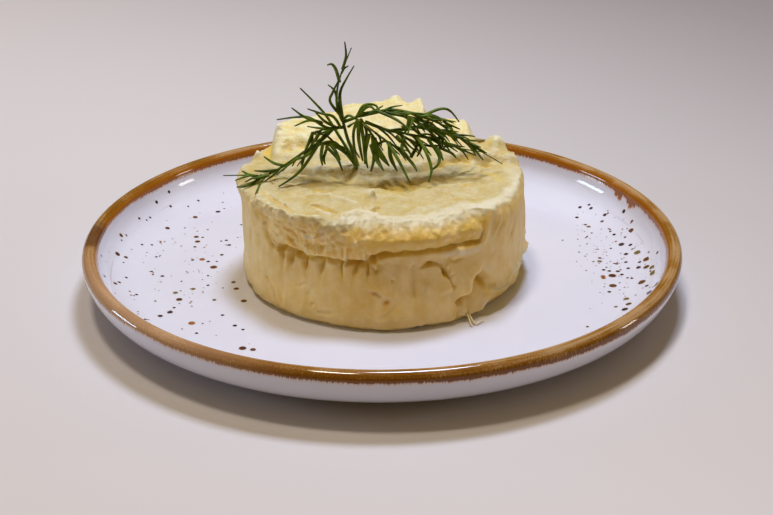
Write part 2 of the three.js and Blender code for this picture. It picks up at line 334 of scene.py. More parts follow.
closed = add(
    wheel, "GeometryNodeMergeByDistance", {"Geometry": moved.outputs[0], "Distance": WELD * MM}
)
smooth = add(wheel, "GeometryNodeSetShadeSmooth", {"Geometry": closed.outputs[0]})
end_tree(wheel, smooth.outputs[0], given["Material"], result)

# %% [markdown]
# ## Effects that several finishes share
#
# Glaze, mash and leaves are all uneven in tone, and none is quite smooth. Two shader groups hold
# that: one blends two colours by soft clouds, the other gives the height of fine grain for a Bump
# node. They read Object coordinates, so the pattern stays on the piece. The shaders stay in the
# materials, where plain numbers are set on their own sockets. Some finishes also read a value that
# the mesh stores for each of its points.

# %% Shader groups: clouded colour and fine grain
COLOUR = "NodeSocketColor"
FLOAT = "NodeSocketFloat"

clouded, given, result = new_tree(
    "clouded colour",
    "ShaderNodeTree",
    {
        "First": (COLOUR, (1, 1, 1, 1)),
        "Second": (COLOUR, (0, 0, 0, 1)),
        "Clouds per metre": (FLOAT, 100.0),
        "Contrast": (FLOAT, 1.0),
    },
    {"Colour": (COLOUR, None)},
)
where = add(clouded, "ShaderNodeTexCoord").outputs["Object"]
clouds = add(
    clouded,
    "ShaderNodeTexNoise",
    {"Vector": where, "Scale": given["Clouds per metre"], "Detail": 4.0, "Roughness": 0.6},
)
spread = wavering(clouded, clouds.outputs[0], 2.5)
share = calc(clouded, "MULTIPLY_ADD", spread, given["Contrast"], 0.5, clamp=True)
clouded.links.new(mix(clouded, share, given["First"], given["Second"]), result["Colour"])

grain, given, result = new_tree(
    "fine grain",
    "ShaderNodeTree",
    {"Grains per metre": (FLOAT, 1000.0), "Streak": (FLOAT, 1.0)},
    {"Height": (FLOAT, None)},
)
where = add(grain, "ShaderNodeTexCoord").outputs["Object"]
drawn_out = add(grain, "ShaderNodeCombineXYZ", {"X": 1.0, "Y": 1.0, "Z": given["Streak"]})
stretched = vector_calc(grain, "MULTIPLY", Vector=where, Second=drawn_out.outputs[0])
grains = add(
    grain,
    "ShaderNodeTexNoise",
    {"Vector": stretched, "Scale": given["Grains per metre"], "Detail": 3.0},
)
grain.links.new(grains.outputs[0], result["Height"])
print("shader groups:", clouded.name, "and", grain.name)


# %% Helpers for materials
def blotchy(tree, first, second, per_metre, contrast):
    """Places the clouded colour group in a material, with this material's own values."""
    inputs = {"First": first, "Second": second, "Clouds per metre": per_metre, "Contrast": contrast}
    return add(tree, "ShaderNodeGroup", inputs, node_tree=clouded).outputs["Colour"]


def grain_height(tree, per_metre, streak=1.0):
    """Places the fine grain group in a material, with this material's own values."""
    inputs = {"Grains per metre": per_metre, "Streak": streak}
    return add(tree, "ShaderNodeGroup", inputs, node_tree=grain).outputs["Height"]


def stored(tree, name):
    """A value that the mesh stores for each of its points."""
    return add(tree, "ShaderNodeAttribute", attribute_name=name).outputs["Fac"]


def new_material(name, **sockets):
    """A material with one Principled shader. The sockets' plain values are set on the shader."""
    material = bpy.data.materials.new(name)
    material.use_nodes = True
    tree = material.node_tree
    shader = next(node for node in tree.nodes if node.type == "BSDF_PRINCIPLED")
    for label, value in sockets.items():
        shader.inputs[label.replace("_", " ")].default_value = value
    return material, tree, shader


def roughen(tree, shader, height, strength, depth):
    """Feeds a height through a Bump node into the shader's normal. The depth is in millimetres."""
    inputs = {"Height": height, "Strength": strength, "Distance": depth * MM}
    bump = add(tree, "ShaderNodeBump", inputs)
    tree.links.new(bump.outputs[0], shader.inputs["Normal"])


# %% [markdown]
# ## Glaze
#
# White glossy glaze, with a band of brown glaze painted over the lip. The brown is thin and
# caramel on the crest, gathers dark at its lower edge, and ran down there in fine teeth and drips
# with a rusty fringe. All of it follows height and distance from the axis, so the masks are
# worked out from Object coordinates, with noise that is stretched downwards for the runs.

# %% Glaze material and the coordinates that it needs
glaze, tree, shader = new_material("plate_glaze", Roughness=0.1, Specular_IOR_Level=0.42)
where = add(tree, "ShaderNodeTexCoord").outputs["Object"]
xyz = add(tree, "ShaderNodeSeparateXYZ", {0: where}).outputs
radius = calc(tree, "DIVIDE", hypotenuse(tree, xyz["X"], xyz["Y"]), MM)
height = calc(tree, "DIVIDE", xyz["Z"], MM)
heading = calc(tree, "MULTIPLY", calc(tree, "ARCTAN2", xyz["Y"], xyz["X"]), math.degrees(1))


def runs(per_metre, squash, detail=2.0):
    """Noise round the rim, drawn out downwards by `squash`."""
    scaled = add(tree, "ShaderNodeMapping", {"Vector": where, "Scale": (1.0, 1.0, squash)})
    inputs = {"Vector": scaled.outputs[0], "Scale": per_metre, "Detail": detail}
    return add(tree, "ShaderNodeTexNoise", inputs).outputs[0]


print(glaze.name, "has", len(tree.nodes), "nodes before its masks")

# %% Lower edge of the brown band, with its teeth and drips
INSIDE_EDGE = 16.7
OUTSIDE_EDGE = 16.9
# Distances from the axis over which the inside of the lip turns into its outside.
LIP_TURNS = (104.0, 107.0)
SWAY = 1.6
TEETH = 1.5
# Drips: heading and half width in degrees, length in millimetres.
DRIPS = [(25.7, 0.8, 1.6), (24.2, 0.9, 2.2), (20.9, 0.7, 1.5), (19.6, 0.9, 2.5), (18.2, 0.7, 1.6)]
DRIP_BELLY = 0.6

# The band hangs a little lower on the outside at the right and on the inside everywhere but at the
# far left.
outside_edge = ramp(tree, xyz["X"], -0.09, 0.09, OUTSIDE_EDGE + 0.7, OUTSIDE_EDGE - 0.9)
inside_edge = ramp(tree, xyz["X"], -0.088, -0.104, INSIDE_EDGE, INSIDE_EDGE + 0.8)
edge_height = ramp(tree, radius, *LIP_TURNS, inside_edge, outside_edge)
above = calc(tree, "SUBTRACT", height, edge_height)
above = calc(tree, "ADD", above, wavering(tree, runs(45.0, 0.2), SWAY))
above = calc(tree, "ADD", above, wavering(tree, runs(2100.0, 0.03, 0.0), TEETH))
reach = above
for middle, half_width, length in DRIPS:
    off = calc(tree, "ABSOLUTE", calc(tree, "SUBTRACT", heading, middle))
    drip = calc(tree, "MULTIPLY", ramp(tree, off, half_width, DRIP_BELLY * half_width), length)
    drip = calc(tree, "MULTIPLY", drip, ramp(tree, radius, 105.0, 104.0))
    reach = calc(tree, "ADD", reach, drip)

band = ramp(tree, reach, -0.1, 0.2)
fringe = ramp(tree, reach, -1.0, 0.1)
print("brown band from", INSIDE_EDGE, "mm up, with", len(DRIPS), "drips")

# %% Tones of the brown band, from its lower edge up to the crest
BAND_DEPTH = 3.8
BROWNS = {
    0.0: colour(124, 74, 22),
    0.3: colour(116, 70, 16),
    0.55: colour(130, 85, 28),
    0.78: colour(150, 106, 54),
    1.0: colour(174, 140, 102),
}
INNER_WALL_BROWN = colour(164, 92, 10)
# Pale tan of the painted reflection on the lip at the front left.
PAINTED_REFLECTION_TAN = colour(204, 168, 142)
STREAKS = 1.6
PATCHES = 1.1
BRUSH_MARKS = 1.3

share = calc(tree, "DIVIDE", above, BAND_DEPTH, clamp=True)
streaks = wavering(tree, runs(1700.0, 0.03, 1.0), STREAKS)
share = calc(tree, "ADD", share, calc(tree, "MULTIPLY", streaks, ramp(tree, share, 1.0, 0.3)))
share = calc(tree, "ADD", share, wavering(tree, runs(70.0, 0.6), PATCHES))
round_rim = add(
    tree,
    "ShaderNodeCombineXYZ",
    {"X": calc(tree, "MULTIPLY", heading, 0.05), "Y": radius, "Z": height},
)
brushed = add(
    tree, "ShaderNodeTexNoise", {"Vector": round_rim.outputs[0], "Scale": 1.1, "Detail": 2.0}
)
share = calc(tree, "ADD", share, wavering(tree, brushed.outputs[0], BRUSH_MARKS))
tones = add(tree, "ShaderNodeValToRGB", {0: share})
stops = tones.color_ramp.elements
stops[0].color = BROWNS[0.0]
stops[1].color = BROWNS[1.0]
for position, tone in list(BROWNS.items())[1:-1]:
    stops.new(position).color = tone

inner_wall = calc(tree, "MULTIPLY", ramp(tree, radius, 104.6, 103.2), 0.6)
brown = mix(tree, inner_wall, tones.outputs[0], INNER_WALL_BROWN)
# Towards the front at the left the lip turns half way to a pale tan: painted reflection of the pale
# room in the glossy lip.
at_front = ramp(tree, xyz["Y"], 0.01, -0.05)
at_left = ramp(tree, xyz["X"], -0.02, -0.08)
painted_reflection_place = calc(tree, "MULTIPLY", at_front, at_left)
brown = mix(tree, calc(tree, "MULTIPLY", painted_reflection_place, 0.5), brown, PAINTED_REFLECTION_TAN)
print("brown in", len(BROWNS), "tones")

# %% Maroon stain on the rim at the left
STAIN_PLACE = (-106.0, -1.0)
STAIN_REACH = 10.5
STAIN_BLUR = 4.0
STAIN_RAGGED = 12.0
MAROON = colour(78, 38, 28)

sideways = calc(tree, "SUBTRACT", calc(tree, "DIVIDE", xyz["X"], MM), STAIN_PLACE[0])
along = calc(tree, "SUBTRACT", calc(tree, "DIVIDE", xyz["Y"], MM), STAIN_PLACE[1])
away = hypotenuse(tree, sideways, along)
away = calc(tree, "ADD", away, wavering(tree, runs(160.0, 0.6), STAIN_RAGGED))
stain = ramp(tree, away, STAIN_REACH + STAIN_BLUR, STAIN_REACH - STAIN_BLUR)
brown = mix(tree, calc(tree, "MULTIPLY", stain, 0.8), brown, MAROON)
print("stain", 2 * STAIN_REACH, "mm wide")

# %% White glaze, a grey line where the floor meets the wall, and the bare foot
FLOOR_LINE_GREY = colour(120, 104, 100)
RUST = colour(206, 152, 92)
BARE_CLAY = colour(203, 190, 172)

white = blotchy(tree, colour(219, 220, 240), colour(213, 214, 235), per_metre=35.0, contrast=0.6)
# A thin broken grey line where the floor meets the wall, at the sides.
floor_line = calc(tree, "MULTIPLY", ramp(tree, radius, 98.5, 98.9), ramp(tree, radius, 99.3, 98.95))
floor_line = calc(tree, "MULTIPLY", floor_line, ramp(tree, runs(60.0, 1.0), 0.42, 0.6))
at_sides = ramp(tree, calc(tree, "ABSOLUTE", xyz["X"]), 0.08, 0.09)
inside = calc(tree, "MULTIPLY", ramp(tree, height, 5.0, 7.0), at_sides)
floor_line = calc(tree, "MULTIPLY", calc(tree, "MULTIPLY", floor_line, inside), 0.22)
white = mix(tree, floor_line, white, FLOOR_LINE_GREY)
white = mix(tree, calc(tree, "MULTIPLY", fringe, 0.55), white, RUST)

# The foot ring and all inside it stand on the kiln shelf, and stay bare and rough.
bare = calc(tree, "MULTIPLY", ramp(tree, height, 1.0, 0.7), ramp(tree, radius, 66.2, 65.9))
surface = mix(tree, band, white, brown)
surface = mix(tree, bare, surface, BARE_CLAY)
tree.links.new(surface, shader.inputs["Base Color"])
tree.links.new(calc(tree, "MULTIPLY_ADD", bare, 0.6, 0.06), shader.inputs["Roughness"])
roughen(tree, shader, grain_height(tree, 60.0), strength=0.12, depth=1.0)
print("glaze material with", len(tree.nodes), "nodes")

# %% Turn the plate
edges = [(i, i + 1) for i in range(len(section) - 1)]
flat_section = mesh_of("plate_section", [(r, 0, z) for r, z in section], edges=edges)
plate = grown("plate_body", flat_section, wheel, Turns=TURNS, Material=glaze)
finish_piece(plate, "plate")

# %% [markdown]
# ## Specks in the glaze
#
# Iron specks melted through the glaze in two loose drifts, left and right of the food. The bigger
# ones are listed, by colour. Smaller ones fall round the same two drifts at random from a
# fixed seed. A painted pattern would blur close to, so each speck is a thin disc: the tree drops
# a point for each straight down onto the plate, turns the disc to the slope, and gives it a wobbly
# outline.

# %% Places of the specks
# (across, back, width) in millimetres for each tone. Tones: 0 aubergine, 1 maroon, 2 brown,
# 3 rust, 4 olive grey.
SPECKS = {
    0: [
        (-66, 53.5, 1.7), (-84.5, 50.5, 1), (-74.5, 60, 0.9), (-78, 54.5, 0.7), (-89.5, 47.5, 1.3),
        (-85.5, 55.5, 1.2), (-94.5, 34, 1), (-91, 38.5, 0.9), (-92, 36, 0.7), (-97.5, 20, 0.8),
        (-102, -8, 1), (-99, -20, 1.2), (83, 51, 1), (94.5, 36, 1.5), (101, -3, 1.2), (-81.5, -44, 1),
        (-98.5, 15, 0.7), (88.5, 30, 0.8), (88.5, 28.5, 0.8), (98, -27.5, 1.1),
        (-88, 20, 0.9), (-91.5, 18.5, 0.9), (-95.5, 5, 1.4), (-85, 22.5, 0.8), (-71.5, 19, 1.1),
        (-69.5, 28, 0.9), (-55.5, 40, 0.9), (-60, 25, 1.1), (-58.5, 20.5, 1.3), (-60.5, 11.5, 1.2),
        (-71, 7, 1.1), (-65, 5.5, 1.2), (-85, 10, 0.9), (-85, -3, 1), (-80.5, -7, 1.2),
        (-93, -11, 1), (-94.5, -17, 1.1), (-87.5, -23.5, 1), (-63, -15, 1), (-73, -33, 1),
        (-74, -36.5, 1.8), (-77, -39.5, 1.6), (-55.5, -39, 1.1), (-50.5, -47, 1.3),
        (-47.5, -50, 1), (-63, -52.5, 1), (79.5, 51.5, 1.3), (77.5, 44.5, 1.3),
        (83.5, 48.5, 1.3), (88, 41, 1.4), (93, 21, 0.9), (94, 14, 1.4), (89.5, 25.5, 1.2),
        (91, 16.5, 2), (91.5, 8, 1.5), (87, 1, 1.1), (90.5, 1.5, 1.2), (95, -1.5, 1.2),
        (94, -5.5, 1.6), (90.5, -4, 1.2), (83.5, -5, 1.2), (87.5, -8.5, 1.3), (94, -23.5, 1.3),
        (96.5, -28, 1.9), (93.5, -31, 2.4), (81, -22.5, 1.2), (84, -38.5, 2.2), (90.5, -13, 1),
    ],
    1: [
        (-84, 35.5, 1.6), (-98.5, 4.5, 2), (-95.5, -19.5, 1.4), (-72, -26.5, 2), (-46.5, -63.5, 2.2),
        (-43, -64.5, 1.7), (81.5, -4, 1.2), (86.5, -5.5, 1.4), (84, -9, 2.5),
    ],
    2: [
        (-99, 17.5, 1.6), (96.5, 28, 1.2), (-74.5, 47.5, 1.7), (-95.5, 5, 1.3), (-72, 28.5, 1.7),
        (-71, 24, 1.8), (-62.5, 0.5, 2.3), (-54, -12.5, 1.5), (-52.5, -18, 1.7), (-49, -28, 1.9),
        (86.5, 37.5, 1.2), (95.5, 23.5, 2.1), (80, 37.5, 1.1), (81.5, 6.5, 1.2), (97.5, -1.5, 2.5),
        (96.5, -7.5, 2.1), (83, -17.5, 2.4),
        (93, -18.5, 2.7), (86, -34.5, 1.9),
    ],
    3: [(-67.5, 7.5, 1.9), (-65.5, -45, 2.1), (80.5, -9.5, 1.6), (80.5, -11, 1.5)],
    4: [
        (-68, -18, 1.5), (-74, -21, 1.6), (-59.5, -27, 1.3), (81, 35.5, 1.4), (81, 3.5, 1.6),
        (95.5, 6.5, 2.4), (98, -10, 2.1), (97.5, -15, 2.8), (86, -29.5, 1.8), (81.5, -35, 1.2),
    ],
}
# Each drift: its middle, how far it spreads across and back, and how many small specks it has.
DRIFTS = [((-77, 0), (16, 34), 130), ((87, 6), (7, 24), 140)]
CLEAR_OF_MASH = 54
WALL_TOP = 101
SPREAD_IN_GLAZE = 1.25
SMALLEST = 0.4
SMALL_RANGE = 0.7

chance = np.random.default_rng(11)
spots = [
    (x, y, SPREAD_IN_GLAZE * width, tone)
    for tone, places in SPECKS.items()
    for x, y, width in places
]
for middle, spread, count in DRIFTS:
    for x, y in chance.normal(middle, spread, (count, 2)):
        if CLEAR_OF_MASH < math.hypot(x, y) < WALL_TOP:
            small_width = SMALLEST + SMALL_RANGE * chance.random() ** 2
            spots.append((x, y, small_width, chance.integers(0, len(SPECKS))))
spots = np.array(spots)
print(len(spots), "specks")

# %% Tree that drops discs onto a surface
DROP_FROM = 40.0
SPECK_SIDES = 14
LIFT = 0.05
WOBBLE = 0.18

drop, given, result = new_tree(
    "discs dropped on a surface",
    "GeometryNodeTree",
    {
        "Points": GEOMETRY,
        "Surface": ("NodeSocketObject", None),
        "Sides": ("NodeSocketInt", SPECK_SIDES),
        "Lift": (FLOAT, LIFT * MM),
        "Wobble": (FLOAT, WOBBLE * MM),
        "Material": MATERIAL,
    },
    {"Geometry": GEOMETRY},
)
surface = add(drop, "GeometryNodeObjectInfo", {"Object": given["Surface"]}).outputs["Geometry"]
ray = add(
    drop,
    "GeometryNodeRaycast",
    {"Target Geometry": surface, "Ray Direction": (0, 0, -1), "Ray Length": 1.0},
)
raised = vector_calc(drop, "SCALE", Vector=ray.outputs["Hit Normal"], Scale=given["Lift"])
landing = vector_calc(drop, "ADD", Vector=ray.outputs["Hit Position"], Second=raised)
slope = add(drop, "GeometryNodeCaptureAttribute")
slope.capture_items.new("VECTOR", "Slope")
drop.links.new(given["Points"], slope.inputs[0])
drop.links.new(ray.outputs["Hit Normal"], slope.inputs[1])
landed = add(drop, "GeometryNodeSetPosition", {"Geometry": slope.outputs[0], "Position": landing})
facing = add(drop, "FunctionNodeAlignRotationToVector", {"Vector": slope.outputs[1]}, axis="Z")
disc = add(
    drop,
    "GeometryNodeMeshCircle",
    {"Vertices": given["Sides"], "Radius": 0.5 * MM},
    fill_type="TRIANGLE_FAN",
)
middle_distance = add(
    drop,
    "ShaderNodeVectorMath",
    {0: add(drop, "GeometryNodeInputPosition").outputs[0]},
    operation="LENGTH",
).outputs["Value"]
rim_share = calc(drop, "DIVIDE", middle_distance, 0.5 * MM)
marked = add(
    drop,
    "GeometryNodeStoreNamedAttribute",
    {"Geometry": disc.outputs[0], "Name": "rim", "Value": rim_share},
    data_type="FLOAT",
)
width = add(drop, "GeometryNodeInputNamedAttribute", {"Name": "width"}, data_type="FLOAT")
copies = add(
    drop,
    "GeometryNodeInstanceOnPoints",
    {
        "Points": landed.outputs[0],
        "Instance": marked.outputs[0],
        "Rotation": facing.outputs[0],
        "Scale": width.outputs[0],
    },
)
real = add(drop, "GeometryNodeRealizeInstances", {"Geometry": copies.outputs[0]})
ruffle = add(drop, "ShaderNodeTexNoise", {"Scale": 900.0, "Detail": 1.0}).outputs["Color"]
both_ways = vector_calc(drop, "SUBTRACT", Vector=ruffle, Second=(0.5, 0.5, 0.5))
level = vector_calc(drop, "MULTIPLY", Vector=both_ways, Second=(1, 1, 0))
shift = vector_calc(drop, "SCALE", Vector=level, Scale=given["Wobble"])
ruffled = add(drop, "GeometryNodeSetPosition", {"Geometry": real.outputs[0], "Offset": shift})
end_tree(drop, ruffled.outputs[0], given["Material"], result)

# %% Speck material
TONES = [
    colour(50, 42, 58), colour(78, 38, 38), colour(96, 62, 40), colour(150, 92, 58),
    colour(112, 98, 62),
]
HALO = colour(205, 186, 178)

speck_glaze, tree, shader = new_material("speck_glaze", Roughness=0.12, IOR=1.5)
place_on_chart = calc(tree, "DIVIDE", calc(tree, "ADD", stored(tree, "tone"), 0.5), len(TONES))
chart = add(tree, "ShaderNodeValToRGB", {0: place_on_chart})
chart.color_ramp.interpolation = "CONSTANT"
fields = chart.color_ramp.elements
fields[0].color = TONES[0]
fields[1].position = 1 / len(TONES)
fields[1].color = TONES[1]
for number, tone in enumerate(TONES[2:], start=2):
    fields.new(number / len(TONES)).color = tone
halo = calc(tree, "MULTIPLY", ramp(tree, stored(tree, "rim"), 0.7, 1.0), 0.6)
tree.links.new(mix(tree, halo, chart.outputs[0], HALO), shader.inputs["Base Color"])
print("speck material with", len(TONES), "tones")

# %% Drop the specks
points = [(x, y, DROP_FROM) for x, y in spots[:, :2]]
dots = mesh_of("speck_points", points, width=spots[:, 2], tone=spots[:, 3])
specks = grown(
    "glaze_specks", dots, drop, Surface=plate, Sides=SPECK_SIDES, Material=speck_glaze
)
finish_piece(specks, None)

# %% [markdown]
# ## Mashed potato: what shapes it
#
# The ring mould left a smooth skin on the side. Where the ring was pulled off, the upper front
# tore away in a grainy layer, over a ledge with finger-like flutes, and the top was heaped up with
# a spoon. It could be sculpted by hand, but a grid bent into a drum and moved by sums of simple
# marks can be changed one mark at a time. Places on the side are (along, height), with `along`
# unrolled from the front middle to the right. Places on the top are (across, back) from the
# drum's axis.

# %% Simple shapes for marks
MASH_CENTRE = np.array([0.9, -0.8])
RING_RADIUS = 51.0
SUNK_INTO_GLAZE = 0.25
MASH_BASE = MASH_FOOT - SUNK_INTO_GLAZE
RIM_TOP = 44.0

print("ring mould", 2 * RING_RADIUS, "mm across, base at", MASH_BASE.round(2), "mm")


def step(value, low, high):
    """A smooth step from 0 at low to 1 at high."""
    t = np.clip((value - low) / (high - low), 0, 1)
    return t * t * (3 - 2 * t)


def within(value, rise_from, rise_to, fall_from, fall_to):
    """1 between the rise and the fall, 0 outside them, with smooth steps."""
    return step(value, rise_from, rise_to) * (1 - step(value, fall_from, fall_to))


def hump(value, middle, width):
    """A rounded hump of height 1."""
    return np.exp(-(((value - middle) / width) ** 2))


def beside(path, u, v):
    """How far each point is from a path, on which side (1 left, -1 right), and how far along."""
    path = np.array(path, float)
    gap = np.full(u.shape, np.inf)
    side = np.ones(u.shape)
    along = np.zeros(u.shape)
    walked = 0.0
    for start, end in zip(path[:-1], path[1:]):
        run = end - start
        length = np.hypot(*run)
        share = ((u - start[0]) * run[0] + (v - start[1]) * run[1]) / length**2
        share = np.clip(share, 0, 1)
        off_u = u - start[0] - share * run[0]
        off_v = v - start[1] - share * run[1]
        distance = np.hypot(off_u, off_v)
        nearer = distance < gap
        gap = np.where(nearer, distance, gap)
        side = np.where(nearer, np.sign(run[0] * off_v - run[1] * off_u), side)
        along = np.where(nearer, walked + share * length, along)
        walked += length
    return gap, side, np.minimum(along, walked - along)


def crease(u, v, path, rise, width):
    """A ridge (rise above 0) or a groove (below 0) along a path, faded out at its ends."""
    gap, _, to_end = beside(path, u, v)
    return rise * hump(gap, 0, width) * (0.25 + 0.75 * step(to_end, 0, 2 * width))


def flap(u, v, path, left, right, left_reach, right_reach, sharp=0.6):
    """An edge: a different rise on each side of a path, each fading over its own reach."""
    gap, side, to_end = beside(path, u, v)
    is_left = step(gap * side, -sharp / 2, sharp / 2)
    rise_left = left * np.exp(-gap / left_reach)
    rise_right = right * np.exp(-gap / right_reach)
    return (is_left * rise_left + (1 - is_left) * rise_right) * step(to_end, -0.5, 2.5)


def spot(u, v, place, rise, radius):
    """A small pit or peak."""
    return rise * np.exp(-((u - place[0]) ** 2 + (v - place[1]) ** 2) / radius**2)


# %% Random lumps
# Large primes, which give each cell of the lumps its own random direction.
SCRAMBLERS = np.array([73856093, 19349663, 83492791])
DIRECTIONS = 4096


def lumps(points, size, seed):
    """Soft random lumps, roughly -1 to 1, about one for each `size` millimetres."""
    directions = np.random.default_rng(seed).normal(size=(DIRECTIONS, 3))
    directions /= np.linalg.norm(directions, axis=1)[:, None]
    scaled = points / size
    cell = np.floor(scaled).astype(np.int64)
    inside = scaled - cell
    fade = inside**3 * (inside * (inside * 6 - 15) + 10)
    total = np.zeros(len(points))
    for corner in np.ndindex(2, 2, 2):
        near = cell + corner
        scrambled = near * SCRAMBLERS
        pick = (scrambled[:, 0] ^ scrambled[:, 1] ^ scrambled[:, 2]) % DIRECTIONS
        push = (directions[pick] * (inside - corner)).sum(1)
        total += push * np.prod(np.where(corner, fade, 1 - fade), axis=1)
    return 1.7 * total


def crags(points, size, seed):
    """Sharp random ridges, roughly -1 to 1, as torn mash has."""
    return 1 - 3 * np.abs(lumps(points, size, seed))


def strayed(x, y, z, stray, size, seed):
    """How far the hand strayed at each place, so that no mark runs quite true."""
    places = np.stack([np.ravel(x), np.ravel(y), np.ravel(z)], 1)
    return stray * lumps(places, size, seed).reshape(np.shape(x))


sample_places = np.arange(300).reshape(100, 3) * 0.37
print("lumps reach", np.abs(lumps(sample_places, 1.0, 1)).max().round(2))

# %% Marks on the top of the mash
# Broad heaps and hollows on the top: across, back, width, depth, rise.
HEAPS = [
    (4.8, 49, 2.6, 6, 2.6), (42, 25, 4, 7, 4), (37, 33, 4, 6, -3), (-30, -32, 6, 5, -2),
    (-19, -49, 9, 6, -3.6), (-50, 3, 10, 22, -2.6), (-4, -32, 3, 3, 1.6), (-40, 27, 4, 8, 1.6),
    (9.8, 49, 1.8, 5, -0.8), (14, 49, 2, 5, 2.6),
]
# Creases on the top: rise, width, and the places that it runs through.
TOP_CREASES = [
    (-3.0, 1.5, [(-30.5, -43), (-27, -45), (-21, -42.8)]),
    (1.2, 1.6, [(-31, -40), (-27, -41.6), (-20.6, -39.6)]),
    (-1.2, 1.3, [(-25, -26.5), (-22, -30), (-18.7, -34.4), (-15.4, -35.4)]),
    (1.0, 1.8, [(-26, -17.7), (-19, -21.3), (-15.6, -24.2), (-8.7, -29.7), (-6.3, -33)]),
    (1.0, 1.6, [(-24, -32), (-20.5, -36.5), (-17.5, -39)]),
    (-1.0, 2.4, [(-25, -9), (-23, -16), (-21.6, -20)]),
    (-0.6, 3.0, [(-22.6, -1), (-17.4, -1.5), (-12.9, -3), (-11.8, -6)]),
    (0.5, 1.6, [(-25.4, 1), (-21, 4.3), (-17.6, 6.7), (-12.6, 3.5), (-9.6, 6.4), (-6, 1)]),
    (-0.7, 3.2, [(-3.6, -3.3), (1, -10), (3.4, -14), (9.5, -11.1), (12.1, -5), (17, -1)]),
    (1.6, 1.0, [(-4.8, -17), (-3.8, -25)]), (-1.6, 1.1, [(-4.9, -33.6), (-3.6, -35.2), (-1.9, -32.6)]),
    (1.0, 1.2, [(-41.5, -30.4), (-35, -34.5), (-33, -39)]), (-1.2, 1.0, [(-38.6, -36), (-35.3, -39.4)]),
    (0.9, 1.6, [(-14.4, -44), (-12.6, -37), (-9, -34.6), (-4.5, -38.4), (3, -45)]),
    (-0.9, 1.6, [(-44.6, -6.4), (-39.9, -1), (-37, -1.6)]),
    (0.8, 1.6, [(-46, -10), (-40, -5), (-35, -6)]), (-0.5, 1.4, [(38, -1), (42.6, -8.5)]),
    (-1.3, 1.3, [(17, 7), (20.7, 7.5), (27.8, 10.1), (32, 11.4)]),
    (0.6, 1.8, [(4, -22), (14, -16), (26, -14), (36, -16)]),
    (-0.6, 1.4, [(8, -26), (20, -21), (32, -22)]), (0.6, 1.5, [(10, -32), (22, -28), (33, -28)]),
    (-0.6, 1.4, [(20, -8), (30, -6), (38, -10)]), (-1.2, 1.2, [(-35.5, 18.5), (-33, 12)]),
    (-0.8, 1.6, [(-40, 12), (-37, 26)]), (0.7, 1.6, [(-34, 26), (-20, 26)]),
]
# Small pits and peaks on the top: place, rise, radius.
TOP_SPOTS = [
    ((-30, 16), -2.0, 2.6), ((-36, 14), -1.2, 1.8), ((37, 9.4), -2.4, 2.0), ((33.6, 13), 1.8, 1.4),
    ((37.1, 12.8), 1.8, 1.4), ((34.2, 3.2), -1.2, 1.4), ((-4.2, -22.6), 1.8, 1.4),
    ((27, -9), -1.0, 1.2), ((30.8, -14), -0.9, 1.3), ((23.8, -22.4), -1.1, 1.2),
    ((27.9, -35), -1.0, 1.2), ((-1, -32.8), -0.8, 1.2), ((-47, 18.5), 2.2, 1.6),
    ((-50, -1), 1.6, 2.4), ((10, 43.5), 1.0, 2.2),
    ((15, 39), 1.4, 2.2), ((-13.5, 50), 0.6, 2.4), ((42, 21), 1.6, 1.6), ((45, 26), 1.4, 1.6),
    ((-40, 24), 1.3, 2.0), ((-27, 42), -0.6, 3.0), ((-44, -20), 0.9, 1.6), ((-38, -22), -0.8, 1.8),
]


LEFT_FLAP = [(-43, -14), (-37, -24), (-31, -33)]
print(len(TOP_CREASES), "creases and", len(TOP_SPOTS), "spots on the top")

# %% Form of the top
FRONT_DROP = 1.6
FRONT_LIP = 1.5
FRONT_LIP_FADE = 0.9
STEP_BEHIND = 2.4
BLOCK_START = 4
BLOCK_RISE = 6.6
BLOCK_MORE_RISE = 2.2
BLOCK_DIP = 4.4
HOLLOW = 1.6
WAVES_OF_SPOON = 0.5


def top_height(x, y):
    """Height of the top, in broad forms: a low front, and a heaped block behind."""
    # The low front ends in a line that bends back to the right.
    behind = y - (1 + 11 * step(x, 0, 38))
    block_top = 24 + 19 * step(x, -30, -10)
    block_rise = BLOCK_RISE + BLOCK_MORE_RISE * step(x, -20, -14)
    block_rise = block_rise - BLOCK_DIP * step(x, 14.5, 17.5) * step(y, 26, 40)
    climb = step((y - BLOCK_START) / (block_top - BLOCK_START), 0, 1)
    front_rim = step(np.hypot(x, y), 39, 47) * step(-y, -20, 10)
    height = RIM_TOP - FRONT_DROP + STEP_BEHIND * step(behind, -2.5, 2)
    height += block_rise * climb * within(x, -42, -39, 31, 36)
    height -= HOLLOW * hump(behind, -7, 6) * hump(x, 1, 17)
    height += (FRONT_LIP - FRONT_LIP_FADE * step(x, -12, 2)) * front_rim
    height += WAVES_OF_SPOON * np.sin(x / 6.5 + 1) * np.cos(y / 7.5)
    for middle_x, middle_y, across, back, rise in HEAPS:
        height += rise * hump(x, middle_x, across) * hump(y, middle_y, back)
    return height


def top_marks(x, y):
    """Creases, pits and peaks of the top, which stray from their drawn places."""
    flat = 0 * x
    shift = strayed(x, y, flat, 1.3, 7, 21) + strayed(x, y, flat, 0.4, 2.5, 22)
    swing = strayed(x, y, flat, 1.3, 7, 23) + strayed(x, y, flat, 0.4, 2.5, 24)
    x = x + shift
    y = y + swing
    marks = sum(crease(x, y, path, rise, width) for rise, width, path in TOP_CREASES)
    marks += sum(spot(x, y, *one) for one in TOP_SPOTS)
    marks += flap(x, y, LEFT_FLAP, 0.3, -0.9, 4, 3)
    # Faint streaks of the spoon, drawn out at 30 degrees.
    aslant = 0.87 * x - 0.5 * y
    onward = 0.5 * x + 0.87 * y
    marks += strayed(0.4 * aslant, onward, flat, 0.16, 3.6, 29)
    return marks


front_height = top_height(np.array([0.0]), np.array([-45.0]))[0]
print("top starts", front_height.round(1), "mm up at the front edge")

